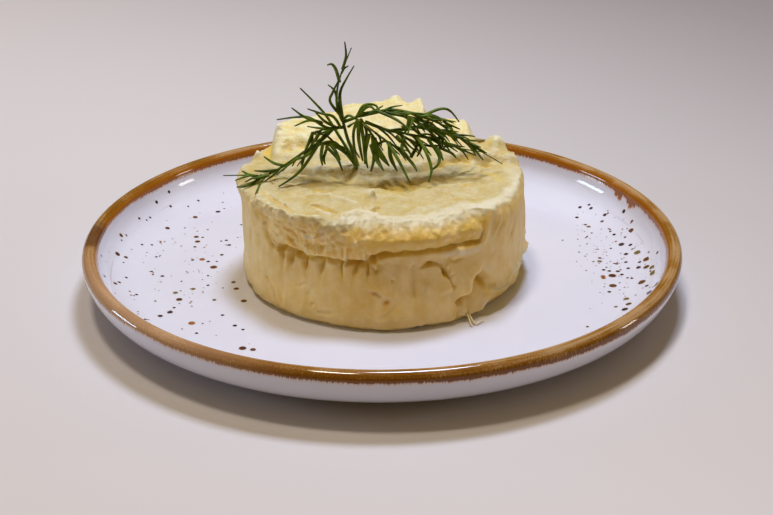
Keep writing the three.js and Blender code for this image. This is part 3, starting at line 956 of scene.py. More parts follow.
# %% Ledge and crest of the side
# The ledge, from left to right: above it the side is torn.
LEDGE = [
    (-68, 48), (-66, 42), (-57, 39.4), (-51.4, 36.6), (-48.8, 32.6), (-45, 31), (-42.8, 30.4),
    (-38, 31.2), (-33, 31), (-29, 30), (-24, 30.6), (-16, 30.8), (-12.6, 31), (-10, 30.2),
    (-7.6, 31.4), (-4, 32), (1, 33.5), (8, 34.2), (15, 34), (21, 34), (26.5, 33.6), (37, 32.4),
    (38.2, 34.5), (40, 38.4), (42.5, 42.6), (45, 45), (48, 48),
]
# How far the torn layer stands back just over the ledge, and at its crest: (along, depth).
TORN_BACK = [
    (-62, 0), (-55, 1), (-50, 1.4), (-45, 0.2), (-15, 0.2), (-8, 0.4), (0, 0.4), (20, 0.5),
    (30, 1.0), (38, 1.0), (44, 0.8), (50, 0),
]
CREST_BACK = [
    (-66, 0), (-53, 1.2), (-41, 1.0), (-20, 1.6), (-16, 4), (-12, 8.6), (-9, 10), (-4, 10),
    (2, 9.4), (8, 8.6), (17.5, 8.6), (28, 8.8), (36, 7.6), (40, 4.8), (44, 1.6), (60, 1), (82, 0.6),
    (90, 0),
]
# Where the torn layer starts to lean back to the crest: over the ledge, and at the sides.
SHOULDER_FOOT = 38.8
SIDE_FOOT = 36
print("ledge from", LEDGE[1], "to", LEDGE[-2])

# %% Marks on the side of the mash
# Grooves and ridges of the side: rise, width, and the places that they run through.
PITS = [
    (-1.6, 1.0, [(-41.8, 30), (-38.6, 30.2)]), (-2.4, 1.2, [(-36.4, 30.2), (-33.2, 30.2)]),
    (-1.6, 1.0, [(-12.8, 31), (-10.2, 29.8), (-7.8, 31.3)]), (-0.8, 1.4, [(-36, 28), (-38, 24.5)]),
    (-2.0, 0.8, [(-5.6, 33), (-3.9, 31.8), (-1.9, 33), (1.7, 35)]),
    (-5.0, 1.7, [(34, 19.8), (36.4, 18.6), (39.6, 17)]), (-4.4, 1.0, [(25.8, 12.9), (28.8, 14)]),
    (-1.6, 0.7, [(20.8, 27.4), (21.2, 25.2), (22.4, 23.2)]), (-1.0, 0.6, [(9.8, 29.6), (11.4, 29)]),
    (-1.1, 0.6, [(14.4, 29.8), (17.2, 29.9)]),
]
# Fingers of skin under the ledge: middle, half width, height of the tip.
FINGERS = [
    (-43.6, 2.6, 28.8), (-38.9, 1.3, 29.8), (-33.4, 2.6, 29.5), (-26.8, 3.3, 30.1), (-19.4, 3.7, 30.5),
    (-13.4, 1.9, 30.2), (-8.4, 1.9, 30.2), (-4.2, 2.0, 31.4),
]
FINGER_DEPTH = 2.2
# Strings of mash that bridge the gaps over the fingers.
STRINGS = [
    (0.9, 0.5, [(-14, 35), (-14.4, 28.2)]), (0.8, 0.5, [(-7.3, 35), (-7.6, 30.8)]),
    (-0.7, 0.7, [(-5.2, 30.6), (-2.9, 27.9), (-0.9, 31)]), (1.2, 1.6, [(-11.6, 33), (-9.6, 33)]),
    (0.9, 1.2, [(-43.5, 31.6), (-41.5, 31.8)]), (0.7, 1.0, [(-39, 32.6), (-34, 32.6)]),
    (0.9, 1.2, [(-31.5, 32), (-28, 31.4)]), (0.6, 1.0, [(-26, 32.2), (-18, 32.4)]),
]
SIDE_CREASES = [
    (-0.3, 0.5, [(-35, 17), (-28.5, 19.5)]), (-0.7, 0.6, [(-48.5, 16.3), (-43, 13.5), (-39.7, 7.6)]),
    (0.5, 0.8, [(-46.5, 16), (-41.4, 13), (-38, 7.4)]),
    (-0.6, 0.6, [(-45.2, 7.2), (-39.7, 7.7), (-33, 6)]),
    (-0.4, 0.6, [(-24, 10), (-16.5, 11.5)]), (0.5, 0.7, [(-6, 22.3), (-2.5, 20.5), (2, 17.5)]),
    (-0.5, 0.7, [(-5, 20.4), (-1, 18.6)]), (-0.4, 0.6, [(-1.5, 10.5), (2, 12.5), (3, 16.5)]),
    (-0.4, 1.0, [(1, 32), (-1.4, 28)]), (-0.5, 1.2, [(4.4, 31.6), (4.4, 20)]),
    (-0.8, 1.0, [(9.7, 29.6), (10, 23), (10.2, 17)]), (0.5, 1.6, [(6.8, 30), (7, 19)]),
    (-0.3, 1.2, [(14, 27), (13.6, 14)]), (0.3, 1.6, [(17, 27), (18, 12)]),
    (-0.4, 1.0, [(1.4, 11), (3, 7)]), (-0.4, 1.0, [(5.8, 11.4), (6, 7.6)]),
    (0.4, 1.3, [(21, 32.4), (26, 32.4), (31, 31.4), (37, 31.4)]),
    (-0.6, 0.6, [(22.5, 31), (26, 29.4), (29, 29.6)]),
    (0.5, 0.9, [(38.6, 31.5), (39.2, 35), (41.4, 38.4), (44, 42.6)]),
    (0.4, 0.9, [(42.5, 32), (47.5, 43)]), (-0.4, 0.9, [(45, 33), (51, 43)]),
    (0.4, 0.9, [(48, 34), (54.5, 44)]), (-0.4, 1.0, [(53, 28), (60, 42)]),
    (0.3, 1.0, [(58, 30), (64, 42)]),
    (-0.8, 0.8, [(-63, 41), (-56.6, 38.6), (-51.2, 35.6), (-48.6, 31.5), (-45, 28)]),
    (0.6, 0.8, [(-61, 42), (-53.6, 37.5), (-50, 34)]), (0.8, 0.5, [(-11.3, 38.7), (-9.2, 36.7)]),
    (-0.5, 0.5, [(30, 11), (29, 6.5)]), (-0.5, 0.5, [(26, 10.5), (25, 6)]),
    (0.5, 0.5, [(27.5, 11), (28, 7)]),
    (0.5, 0.8, [(23, 11), (22, 6.4)]), (0.5, 1.2, [(39, 22.6), (40.6, 20.6)]),
]
SIDE_STROKES = PITS + STRINGS + SIDE_CREASES
# Small pits and peaks on the side: place, rise, radius.
SIDE_SPOTS = [
    ((-26, 12.5), -0.5, 0.8), ((-28.5, 16), -0.4, 0.8), ((-26.5, 19), -0.3, 0.7),
    ((-19.3, 8.2), -0.5, 0.7), ((0.2, 16.2), -0.9, 1.1), ((3, 24), -0.5, 0.5), ((41, 15), -0.8, 1.6),
    ((22.6, 27.4), 0.8, 0.8), ((24, 25.2), 0.9, 0.8), ((24.6, 22.9), 0.8, 0.8), ((28, 32.2), 0.8, 1.0),
    ((80, 19.5), 0.7, 0.9), ((80, 15.5), 0.7, 0.8), ((80, 10), 0.7, 0.9),
    ((-39, 44.2), 1.2, 1.0), ((-36, 42.2), 1.2, 0.9), ((-29.5, 37.4), 1.3, 1.0), ((-26, 38), 1.1, 0.8),
    ((-19.7, 38.4), 1.1, 0.8), ((-33, 39), 0.8, 0.9), ((-24, 34.6), -0.5, 1.4), ((-35, 37), -0.4, 1.8),
]
# Edges of flaps and of the skin.
BLOCK_EDGE = [(12.6, 28.4), (16.5, 29.2), (19.8, 28.4), (20.6, 25.5), (22.6, 22), (23.8, 18)]
OVERLAP_EDGE = [(25.4, 35), (26.4, 37.4), (29, 39.5), (33, 41.5)]
UPPER_SKIN_EDGE = [
    (37.5, 24), (34.1, 21.2), (32.4, 19), (31.4, 16.4), (30, 14.6), (27.6, 14.8), (25.4, 13),
]
LOWER_SKIN_EDGE = [
    (112, 5), (105, 9), (90, 13), (75, 15.5), (64.5, 17), (62.6, 14.3), (56, 14.6), (51.2, 14),
    (49.2, 12.1), (44.8, 11.9), (39.7, 12.9), (38.2, 11.5), (37.2, 9.5), (35.6, 7.4), (31.6, 6.6),
    (28.5, 6),
]
print(len(SIDE_STROKES), "strokes and", len(SIDE_SPOTS), "spots on the side")

# %% Form of the side
# Bulges of the side: rise, middle and spread round in degrees, middle and spread in height.
BULGES = [(1.3, -20, 80, 9, 6), (2.2, -86, 24, 41.5, 3.5), (0.8, 160, 60, 24, 14)]
FRONT_LEAN = 3
TORN_BLUR = 0.6
CREST_BEND = 1.2
UNDERCUT = 1.5
SWELL = 0.8
SKIN_DEPTH = 2.2
SKIN_THINNING = 1.3
LIP_RISE = 1.8
NOTCH = 2.6
FOOT_ROUND = 1.8


def turned(angle, middle_degrees):
    """The turn from a direction given in degrees, the short way round, in degrees."""
    return (np.degrees(angle) - middle_degrees + 180) % 360 - 180


def leaning(u, z):
    """How far the front leans back with height."""
    return FRONT_LEAN * step(z, 8, 31) * (1 - step(np.abs(u + 2), 26, 50))


def between_fingers(u, z):
    """Depth between the fingers of skin, which end under the ledge in rounded tips."""
    filled = np.zeros(u.shape)
    for middle, half_width, tip in FINGERS:
        rounded = np.sqrt(np.clip(1 - ((u - middle) / half_width) ** 2, 0, 1))
        filled = np.maximum(filled, rounded * (1 - step(z, tip - 1.6, tip + 0.5)))
    deepening = 0.25 * step(z, 20, 27) + 0.75 * step(z, 24, 29)
    return FINGER_DEPTH * (1 - filled) * within(u, -47, -42, -5, -1) * deepening


def above_ledge(u, z):
    """Height over the ledge. Where the ledge is over the rim, the skin reaches the top."""
    along, height = np.transpose(LEDGE)
    return z - np.interp(u, along, height)


def astray(u, z):
    """Places on the side, strayed a little from where they are drawn."""
    angle = u / RING_RADIUS
    around = (RING_RADIUS * np.sin(angle), RING_RADIUS * np.cos(angle), z)
    moved_u = u + strayed(*around, 0.6, 5, 25) + strayed(*around, 0.35, 1.8, 26)
    moved_z = z + strayed(*around, 0.5, 5, 27) + strayed(*around, 0.35, 1.8, 28)
    return moved_u, moved_z + 0.475 * leaning(u, z) * (1 - step(z, 36, 44))


def side_radius(u, z):
    """Distance of the side from the drum's axis, which is a little out of round."""
    angle = u / RING_RADIUS
    lean = leaning(u, z)
    u, z = astray(u, z)
    radius = RING_RADIUS + 0.4 * np.sin(3 * angle + 0.8) + 0.3 * np.sin(7 * angle + z / 6)
    for rise, heading, spread, middle, reach in BULGES:
        radius += rise * hump(turned(angle, heading), 0, spread) * hump(z, middle, reach)
    over = above_ledge(u, z)
    torn = step(over, 0, TORN_BLUR)
    depth = np.interp(u, *np.transpose(TORN_BACK), left=0, right=0)
    crest = np.interp(u, *np.transpose(CREST_BACK), left=0, right=0)
    foot = SIDE_FOOT + (SHOULDER_FOOT - SIDE_FOOT) * within(u, -22, -6, 32, 42)
    climb = np.clip((z - foot) / (RIM_TOP - foot), 0, 1) ** CREST_BEND
    radius -= (torn * depth + lean) * (1 - climb) + crest * climb
    radius -= UNDERCUT * hump(over, 0.5, 0.6) * within(u, -8, -3, 36, 39)
    radius += torn * SWELL * hump(over, 4.0, 2.4) * within(u, -14, -6, 34, 40)
    radius -= (1 - torn) * between_fingers(u, z)
    radius += sum(crease(u, z, path, rise, width) for rise, width, path in SIDE_STROKES)
    radius += sum(spot(u, z, *one) for one in SIDE_SPOTS)
    radius += flap(u, z, BLOCK_EDGE, -1.6, 0.8, 1.6, 8, sharp=0.8)
    radius += flap(u, z, UPPER_SKIN_EDGE, -3.2, 1.0, 2.8, 4, sharp=0.5)
    radius += flap(u, z, OVERLAP_EDGE, 0.6, -0.7, 3, 5, sharp=3)
    # Under the lower edge the skin came off. Its edge stands up as a lip over a groove.
    gap, side, _ = beside(LOWER_SKIN_EDGE, u, z)
    bare = step(gap * side, -0.25, 0.25) * within(u, 27, 30, 108, 114)
    radius -= (SKIN_DEPTH - SKIN_THINNING * step(u, 52, 66)) * bare
    radius -= LIP_RISE * np.exp(-gap / 0.9) * bare * within(u, 40, 46, 100, 110)
    radius += LIP_RISE * np.exp(-gap / 1.3) * (1 - bare) * within(u, 30, 40, 100, 110)
    # A notch at the foot, and the foot's own rounding.
    radius -= NOTCH * hump(u, 12, 3.4) * (1 - step(z, 5.5, 8))
    return radius - FOOT_ROUND * (1 - step(z, MASH_BASE, MASH_BASE + 2.3))


print("side stands", side_radius(np.array([0.0]), np.array([20.0]))[0].round(1), "mm out in front")

# %% [markdown]
# ## Mashed potato: the mesh
#
# A column grid wraps round the side and a grid of square rings covers the top. The outermost ring
# has as many points as the side has columns, so both share the rim and the drum is one closed
# skin. Four-sided faces of even size take the fine grain better than a disc of thin triangles.

# %% Grids of the drum
RINGS = 84
AROUND = 8 * RINGS
UP = 90
CROWDING = 0.33
# The rim is rounded: pulled down and in, and fading out over a few millimetres.
RIM_DROP = 0.8
RIM_PULL = 0.9
RIM_FADE = 1.3
JOIN_FADE = 2.0


def ring_position(i, j):
    """Ring number of a top cell corner, and its turn from the front as a share of a full turn."""
    ring = np.maximum(np.abs(i), np.abs(j))
    walk = np.select(
        [(j == -ring) & (i >= 0), i == ring, j == ring, i == -ring],
        [i, j + 2 * ring, 4 * ring - i, 6 * ring - j],
        8 * ring + i,
    )
    return ring, walk / np.maximum(8 * ring, 1)


def crowded(share):
    """Angle from the front for a share of a full turn. Angles stand closer at the front."""
    angle = (math.tau * share + math.pi) % math.tau - math.pi
    return angle - CROWDING * np.sin(angle)


column_angle = crowded(np.arange(AROUND) / AROUND)
column_u = column_angle * RING_RADIUS
across = np.sin(column_angle)
forward = np.cos(column_angle)
start_radius = RING_RADIUS - 1 - np.interp(column_u, *np.transpose(CREST_BACK), left=0, right=0)
start_top = top_height(start_radius * across, -start_radius * forward)
rim_points = np.stack([RING_RADIUS * across, RING_RADIUS * forward, 0 * column_u], 1)
ragged = 0.8 * lumps(rim_points, 5.5, 31) + 0.5 * lumps(rim_points, 2.0, 32)
ragged *= 1 - 0.7 * within(column_u, -16, -10, 60, 75)
rim_radius = side_radius(column_u, start_top) - RIM_PULL + 0.7 * ragged
rim_x = rim_radius * across
rim_y = -rim_radius * forward
rim_height = top_height(rim_x, rim_y) + top_marks(rim_x, rim_y) - RIM_DROP + ragged
print("rim from", rim_height.min().round(1), "to", rim_height.max().round(1), "mm up")

# %% Side and top of the drum
share = np.linspace(0, 1, UP + 1)[:, None]
side_z = MASH_BASE + (rim_height - MASH_BASE) * share
side_u = np.broadcast_to(column_u, side_z.shape)
to_rim = rim_height - side_z
side_r = side_radius(side_u, side_z) - RIM_PULL * np.exp(-to_rim / RIM_FADE)
side_r += (rim_radius - side_r[-1]) * np.exp(-to_rim / JOIN_FADE)
side_x = side_r * across
side_y = -side_r * forward

steps = np.arange(-RINGS, RINGS + 1)
i, j = np.meshgrid(steps, steps, indexing="ij")
ring, turn_share = ring_position(i, j)
order = np.argsort(column_angle)
top_angle = crowded(turn_share)
reach = np.interp(top_angle, column_angle[order], rim_radius[order], period=math.tau)
top_r = ring / RINGS * reach
top_x = top_r * np.sin(top_angle)
top_y = -top_r * np.cos(top_angle)
edge_ragged = np.interp(top_angle, column_angle[order], ragged[order], period=math.tau)
top_z = top_height(top_x, top_y) + top_marks(top_x, top_y)
top_z += (edge_ragged - RIM_DROP) * np.exp(-(reach - top_r) / RIM_FADE)
print("side", side_z.shape, "top", top_z.shape)

# %% Join side, top and base
BASE_SHRINK = (0.9, 0.9, 1.0)
corner = np.full(ring.shape, -1)
on_rim = ring == RINGS
corner[on_rim] = UP * AROUND + np.round(turn_share[on_rim] * AROUND).astype(int) % AROUND
inner = ~on_rim
side_count = side_z.size
corner[inner] = side_count + np.arange(inner.sum())
base_start = side_count + inner.sum()

side_part = np.stack([side_x.ravel(), side_y.ravel(), side_z.ravel()], 1)
top_part = np.stack([top_x[inner], top_y[inner], top_z[inner]], 1)
base_part = side_part[:AROUND] * BASE_SHRINK
drum = np.concatenate([side_part, top_part, base_part])

columns = np.arange(AROUND)
next_column = (columns + 1) % AROUND
rows = np.arange(UP)[:, None] * AROUND
side_faces = np.stack(
    [rows + columns, rows + next_column, rows + AROUND + next_column, rows + AROUND + columns], -1
).reshape(-1, 4)
top_faces = np.stack(
    [corner[:-1, :-1], corner[1:, :-1], corner[1:, 1:], corner[:-1, 1:]], -1
).reshape(-1, 4)
base_faces = np.stack(
    [next_column, columns, base_start + columns, base_start + next_column], -1
).reshape(-1, 4)
quads = np.concatenate([side_faces, top_faces, base_faces])
print(len(drum), "points,", len(quads), "faces")

# %% Helpers that read the skin
def normals_of(points, faces):
    """The direction that the skin faces at each point."""
    across = points[faces[:, 2]] - points[faces[:, 0]]
    down = points[faces[:, 3]] - points[faces[:, 1]]
    facing = np.cross(across, down)
    total = np.zeros_like(points)
    for k in range(4):
        for axis in range(3):
            total[:, axis] += np.bincount(faces[:, k], facing[:, axis], len(points))
    return total / np.maximum(np.linalg.norm(total, axis=1), 1e-9)[:, None]


def smoothed(points, faces, rounds):
    """Each point moves to the mean of its neighbours, `rounds` times."""
    a = faces.ravel()
    b = np.roll(faces, -1, axis=1).ravel()
    ends = np.r_[a, b]
    others = np.r_[b, a]
    count = np.bincount(ends, minlength=len(points))[:, None]
    for _ in range(rounds):
        sums = [np.bincount(ends, points[others, axis], len(points)) for axis in range(3)]
        points = 0.5 * points + 0.5 * np.stack(sums, 1) / count
    return points


def whole_drum(side, top, base):
    """One value for each point of the drum: side, top and base in turn. Each can be one number."""
    counts = (side_count, inner.sum(), AROUND)
    values = [np.broadcast_to(np.ravel(v), n) for v, n in zip((side, top, base), counts)]
    return np.concatenate(values)


print(round(whole_drum(0, 1, 0).mean(), 2), "of the drum's points are on top")


# %% Grain of torn mash
# Layers of grain: kind, height, squeeze across, back and up, size, seed.
SKIN_GRAIN = [
    (lumps, 0.3, (1, 1, 0.5), 9.0, 41), (lumps, 0.16, (1, 1, 0.35), 2.6, 42),
    (lumps, 0.22, (1, 1, 0.22), 5.0, 53),
]
WALL_GRAIN = [
    (lumps, 0.4, (1, 1, 1.3), 4.2, 43), (lumps, 0.32, (1, 1, 1.2), 1.9, 44),
    (lumps, 0.14, (1, 1, 1), 1.1, 49), (crags, 0.16, (1, 1, 1.4), 3.4, 50),
]
TOP_GRAIN = [
    (lumps, 0.4, (1, 1, 1), 6.0, 45), (crags, 0.22, (1, 1.3, 1), 5.2, 46),
    (crags, 0.1, (1, 1.3, 1), 2.4, 47), (lumps, 0.06, (1, 1, 1), 1.3, 51),
]
# The torn wall is roughest at the left.
ROUGHNESS_AT_RIGHT = 0.35
NEAR_ROUNDS = 5
BROAD_ROUNDS = 40


def grain_of(layers):
    """Layers of grain over the whole drum."""
    return sum(rise * kind(drum * squeeze, size, seed) for kind, rise, squeeze, size, seed in layers)


def proud(rounds):
    """How far each point stands over its surroundings, which are wider for more rounds."""
    return ((drum - smoothed(drum, quads, rounds)) * normals_of(drum, quads)).sum(1)


torn_side = step(above_ledge(*astray(side_u, side_z)), 0, TORN_BLUR)
torn_side = np.maximum(torn_side, step(-to_rim, -1.2, -0.2))
torn = whole_drum(torn_side, 1, 0)
is_top = whole_drum(0, 1, 0)
torn_wall = torn * (1 - is_top)

left_wall = 1 - step(drum[:, 0], -16, -8)
roughness = ROUGHNESS_AT_RIGHT + (1 - ROUGHNESS_AT_RIGHT) * left_wall
grained = grain_of(SKIN_GRAIN) * (1 - torn) + grain_of(TOP_GRAIN) * is_top
grained += grain_of(WALL_GRAIN) * roughness * torn_wall
grained *= step(drum[:, 2], MASH_BASE, MASH_BASE + 2)
drum = drum + normals_of(drum, quads) * grained[:, None]

near = proud(NEAR_ROUNDS)
broad = proud(BROAD_ROUNDS)
print("ridges up to", near.max().round(2), "and", broad.max().round(2), "mm over their surroundings")

# %% [markdown]
# ## Mashed potato: painted shade in its hollows, and dry, highlighted ridges
#
# Hollows, creases and the places under edges and under the sprig get an ochre painted shade,
# which also stands in for the yellow light that the mash bounces into them. Ridges and thin edges
# turn pale: dried skin, with a painted highlight where an edge catches the light, and a pale frost
# along the crest. Most of that follows from how far a point stands below or above its
# surroundings. A few places differ for their own reasons, such as the fresh face under the crest,
# so they are drawn as soft strokes: strength, width, and the places that they run through.

# %% Painted shade, and dry and highlight strokes
# Ochre painted shade on the side: in the groove under the torn layer, between the fingers, in pits, on
# the face under the crest and under the lower edge of the skin.
PAINTED_SHADE_SIDE = [
    (1.0, 1.6, [(-4, 33), (2, 34.6), (9, 35.2), (17, 35), (23, 35.4), (27, 36.6)]),
    (0.8, 3.0, [(-9, 38), (-4, 37), (4, 37.6), (14, 38), (24, 38)]),
    (1.0, 1.5, [(27, 35.4), (32, 34.8), (37.6, 34.4)]),
    (0.9, 2.6, [(27, 37.6), (33, 38.4), (38.5, 38.6)]), (0.5, 1.6, [(-14, 40), (-8, 41)]),
    (1.0, 1.2, [(-42, 30), (-38.4, 30.2)]), (1.0, 1.5, [(-36.6, 30), (-33.2, 29.6)]),
    (0.6, 0.9, [(-35.4, 29.5), (-38, 24.5)]), (0.8, 0.8, [(-31, 29.8), (-27.4, 29.2)]),
    (0.7, 0.7, [(-24.4, 29.8), (-21.3, 29.3)]), (0.7, 0.6, [(-17.2, 31.2), (-15, 29.2)]),
    (0.8, 0.8, [(-12.8, 31), (-10.2, 29.8), (-7.8, 31.3)]), (0.3, 0.9, [(-23, 28), (-23.1, 23.2)]),
    (0.9, 1.5, [(33.4, 19.6), (36.4, 18.4), (39.6, 16.8)]), (0.9, 1.0, [(25.4, 12.8), (29, 14)]),
    (0.6, 2.0, [(36, 15.6), (38.6, 14.6)]),
    (0.5, 0.8, [(20.6, 27.4), (21.4, 25.2), (22.6, 23)]), (0.6, 1.1, [(-56.6, 39), (-51, 35.8)]),
    (0.3, 2.4, [(-40, 35), (-30, 36), (-22, 36)]),
    (0.6, 3.4, [(41, 8.6), (50, 9.6), (62, 11), (80, 10)]),
    (
        1.0, 0.8,
        [
            (70, 15.2), (64.2, 15.6), (62, 13.2), (56, 13.6), (51, 12.8), (49, 11), (44.6, 10.8),
            (39.8, 11.6),
        ],
    ),
    (0.3, 2.0, [(34, 13), (38, 15)]), (0.3, 1.6, [(-30, 12.5), (-27, 12.8)]),
    (1.0, 0.9, [(0.2, 16.4), (0.4, 15)]),
]
# Pale strokes on the side: dried skin, and a painted highlight along the lips and edges of the skin
# that catch the light.
DRY_AND_HIGHLIGHT_SIDE = [
    (0.7, 0.9, [(21, 32.2), (26.2, 32.4), (31, 31.4), (37.4, 31.4)]),
    (0.6, 1.0, [(28.4, 32), (29, 31.6)]),
    (0.6, 0.7, [(38.6, 34.8), (42.2, 38.6), (45.3, 43)]), (0.8, 0.9, [(-39.1, 44.2), (-35.8, 42.4)]),
    (0.8, 0.9, [(-30.5, 37.6), (-25.5, 38.1)]), (0.7, 0.7, [(-20.5, 39), (-19.4, 38)]),
    (0.4, 0.6, [(-14, 35), (-14.4, 28.4)]), (0.5, 0.6, [(-7.2, 35), (-7.6, 30.4)]),
    (0.4, 0.8, [(38.9, 23), (40.8, 20.8)]),
    (0.9, 0.9, [(70, 17), (64, 17.8), (63, 15.2), (56, 15.6), (50, 13.2)]),
    (0.8, 0.8, [(49, 13.0), (44, 12.8), (40, 13.8)]), (0.7, 0.8, [(37.4, 11.8), (35.4, 8)]),
    (0.4, 0.6, [(33.6, 21.2), (31, 17)]),
    (0.5, 0.6, [(-11.3, 38.7), (-9.2, 36.7)]), (0.5, 1.0, [(-43.4, 31.8), (-41.6, 32)]),
]
# Ochre painted shade on the top: in creases and pits, and in the trough in front of the stem, where the
# sprig throws its shadow.
PAINTED_SHADE_TOP = [
    (0.9, 1.3, [(-30.5, -43), (-27, -45), (-21, -42.8)]),
    (0.5, 1.3, [(-25, -26.5), (-22, -30), (-15.4, -35.4)]),
    (0.7, 2.8, [(-22.6, -1), (-17.4, -1), (-12.9, -2)]), (0.8, 1.6, [(-12, -3), (-12.5, -6)]),
    (0.8, 5.0, [(-3.6, -3.3), (3.4, -12), (11, -8), (18, -2)]), (0.7, 4.0, [(-24, 0), (-14, -3)]),
    (0.6, 1.8, [(-25.2, -9), (-21.6, -20)]), (0.4, 1.2, [(-1, -32.9), (-2.4, -31)]),
    (0.8, 1.0, [(-4.9, -33.8), (-3.6, -35.4), (-1.9, -32.8)]),
    (0.5, 1.1, [(23.8, -22.4), (25.4, -22)]), (0.5, 1.2, [(27.2, -8.7), (30.8, -14)]),
    (0.5, 1.0, [(27.9, -35.1), (26.6, -35.4)]), (1.0, 1.5, [(35.2, 9.2), (38.7, 9.4)]),
    (0.5, 1.2, [(34, 3.4), (39.6, -2.8), (42.6, -8.5)]),
    (0.7, 1.0, [(17.9, 7), (27.8, 10.1), (32, 11.4)]), (0.9, 2.0, [(-30.3, 13), (-29, 15)]),
    (0.4, 2.6, [(-35, 21), (-34, 24)]), (0.3, 5, [(2, -8), (14, -4)]),
]
# Pale strokes on the top: dried crest and ridges, with a painted highlight where they catch light.
DRY_AND_HIGHLIGHT_TOP = [
    (0.8, 1.6, [(-13, -44), (-12, -36.5), (-9, -34.4), (-5.3, -37), (-1.9, -44.6), (2.3, -47)]),
    (0.7, 2.2, [(2.3, -46), (11.3, -43), (19.6, -41.5), (28.4, -37), (34, -29.5), (40, -23)]),
    (0.9, 1.0, [(-5, -14), (-4.4, -20), (-3.6, -25)]), (0.6, 1.0, [(-25.6, 0.5), (-21, 4.6)]),
    (0.8, 1.1, [(-17.6, 6.9), (-12.6, 3.9), (-9.6, 7)]),
    (0.7, 2.6, [(43.5, -19), (47, -11), (47.5, -1), (43, 4)]),
    (0.9, 1.5, [(33.6, 13), (37.1, 12.8), (35.6, 11.5)]),
    (0.7, 1.4, [(-41.5, -30.4), (-35, -34.5), (-33, -39.6)]),
    (0.6, 1.5, [(-46, -10), (-40, -5)]), (0.5, 1.0, [(-24, -32), (-20.5, -36.5), (-17.5, -39)]),
    (0.7, 1.8, [(-24, -42.5), (-19, -44.5), (-15, -44)]),
    (0.4, 1.4, [(-26, -17.7), (-19, -21.3), (-8.7, -29.7)]),
]
# Bits of browned potato in the mash.
BROWNED = [
    (1.0, 1.0, [(0.2, 16.8), (0.4, 15.4)]), (0.5, 0.8, [(-5, 20.2), (-2, 19)]),
    (0.9, 0.5, [(25.6, 13.6), (26, 12)]), (0.7, 0.6, [(30.8, 14.6), (26, 13.4)]),
    (0.5, 0.8, [(33.8, 19.8), (36, 18.8)]), (0.3, 0.9, [(-29, 12.6), (-27, 12.2)]),
]


def painted(u, v, strokes):
    """Soft strokes, of which the strongest shows."""
    return np.max([crease(u, v, path, strength, width) for strength, width, path in strokes], axis=0)


print(len(PAINTED_SHADE_SIDE + PAINTED_SHADE_TOP), "moist strokes and", len(DRY_AND_HIGHLIGHT_SIDE + DRY_AND_HIGHLIGHT_TOP), "dry ones")

# %% Painted shade in hollows
FAR_FROM_RIM = 99.0
NARROW_HOLLOWS = 0.8
BROAD_HOLLOWS = 0.7
BETWEEN_FINGERS = 0.55
TOP_OVERHANG = 2.5

side_places = astray(side_u, side_z)
top_places = (top_x[inner], top_y[inner])
browned = whole_drum(painted(*side_places, BROWNED), 0, 0)
# Ochre painted shade from the strokes, from hollows and from the gaps between the fingers.
moist = whole_drum(painted(*side_places, PAINTED_SHADE_SIDE), painted(*top_places, PAINTED_SHADE_TOP), 0)
moist += NARROW_HOLLOWS * step(-near, 0.03, 0.25) + BROAD_HOLLOWS * step(-broad, 0.3, 1.6)
recess = whole_drum((1 - torn_side) * between_fingers(*side_places), 0, 0)
moist += BETWEEN_FINGERS * recess / FINGER_DEPTH
under_rim = whole_drum(to_rim, FAR_FROM_RIM, FAR_FROM_RIM)
on_top = is_top + torn_wall * np.exp(-under_rim / TOP_OVERHANG)
print("moist", moist.mean().round(2), "on average, before it dries")

# %% Dried and highlighted ridges, and the frost along the crest
CREST_FROST = 0.75
FROST_REACH = 1.8
TOP_FROST = 3.6

# Pale of dried skin, with a painted highlight on ridges and edges.
dry = whole_drum(painted(*side_places, DRY_AND_HIGHLIGHT_SIDE), painted(*top_places, DRY_AND_HIGHLIGHT_TOP), 0)
# Ridges turn paler most on the top: dried skin, and a painted highlight where the light from above
# catches them.
ridges = step(near, 0.06, 0.3) * (0.2 + 0.4 * is_top) + 0.4 * is_top * step(broad, 0.3, 1.2)
dry += torn * ridges
inwards = whole_drum(to_rim, 1.1 * (reach - top_r)[inner], FAR_FROM_RIM)
whole_u = whole_drum(side_u, top_angle[inner] * RING_RADIUS, 0)
# The crest is frosted in front and at the right, and the frost breaks off raggedly inwards.
frosted = within(whole_u, -22, -14, 60, 75)
frosted *= 1 - (1 - is_top) * step(whole_u, 38, 46)
frost_end = FROST_REACH + TOP_FROST * frosted * is_top
frost_end += 0.8 * lumps(drum, 5.0, 48) + 0.6 * lumps(drum, 2.0, 52)
dry += CREST_FROST * (0.25 + 0.75 * frosted) * torn * step(frost_end - inwards, -0.8, 1.2)
moist = np.clip(moist, 0, 1) * (1 - 0.5 * np.clip(dry, 0, 1))
dry = np.clip(dry, 0, 1)
print("moist", moist.mean().round(2), "dry", dry.mean().round(2), "on average")

# %% [markdown]
# ## Mashed potato: its finish
#
# Mash is cream where light comes through it. Its ridges dry to a paler skin and get a painted
# highlight, and its recesses get an ochre painted shade. The mesh stores for each point how torn,
# shaded, dry and highlighted, or browned it is and whether it lies on top, and the colour follows
# these values. Painting a picture onto the mash would need a flat layout of the skin, which the
# stored values make needless. Light that wanders under the surface is the shader's own subsurface,
# with its radius in millimetres.

# %% Mash material
# Ochre of the painted shade, pale cream of dried skin with its painted highlight, and the tone of
# browned bits.
SHADE_OCHRE = colour(226, 191, 82)
DRY_AND_HIGHLIGHT_CREAM = colour(224, 218, 197)
BROWNED_TONE = colour(196, 112, 12)
# Height in millimetres over which the heap turns to a lighter cream: painted light, for the lamp
# behind that shines through the thin high heap.
LIT_HEAP_FROM = 44.5
LIT_HEAP_TO = 49

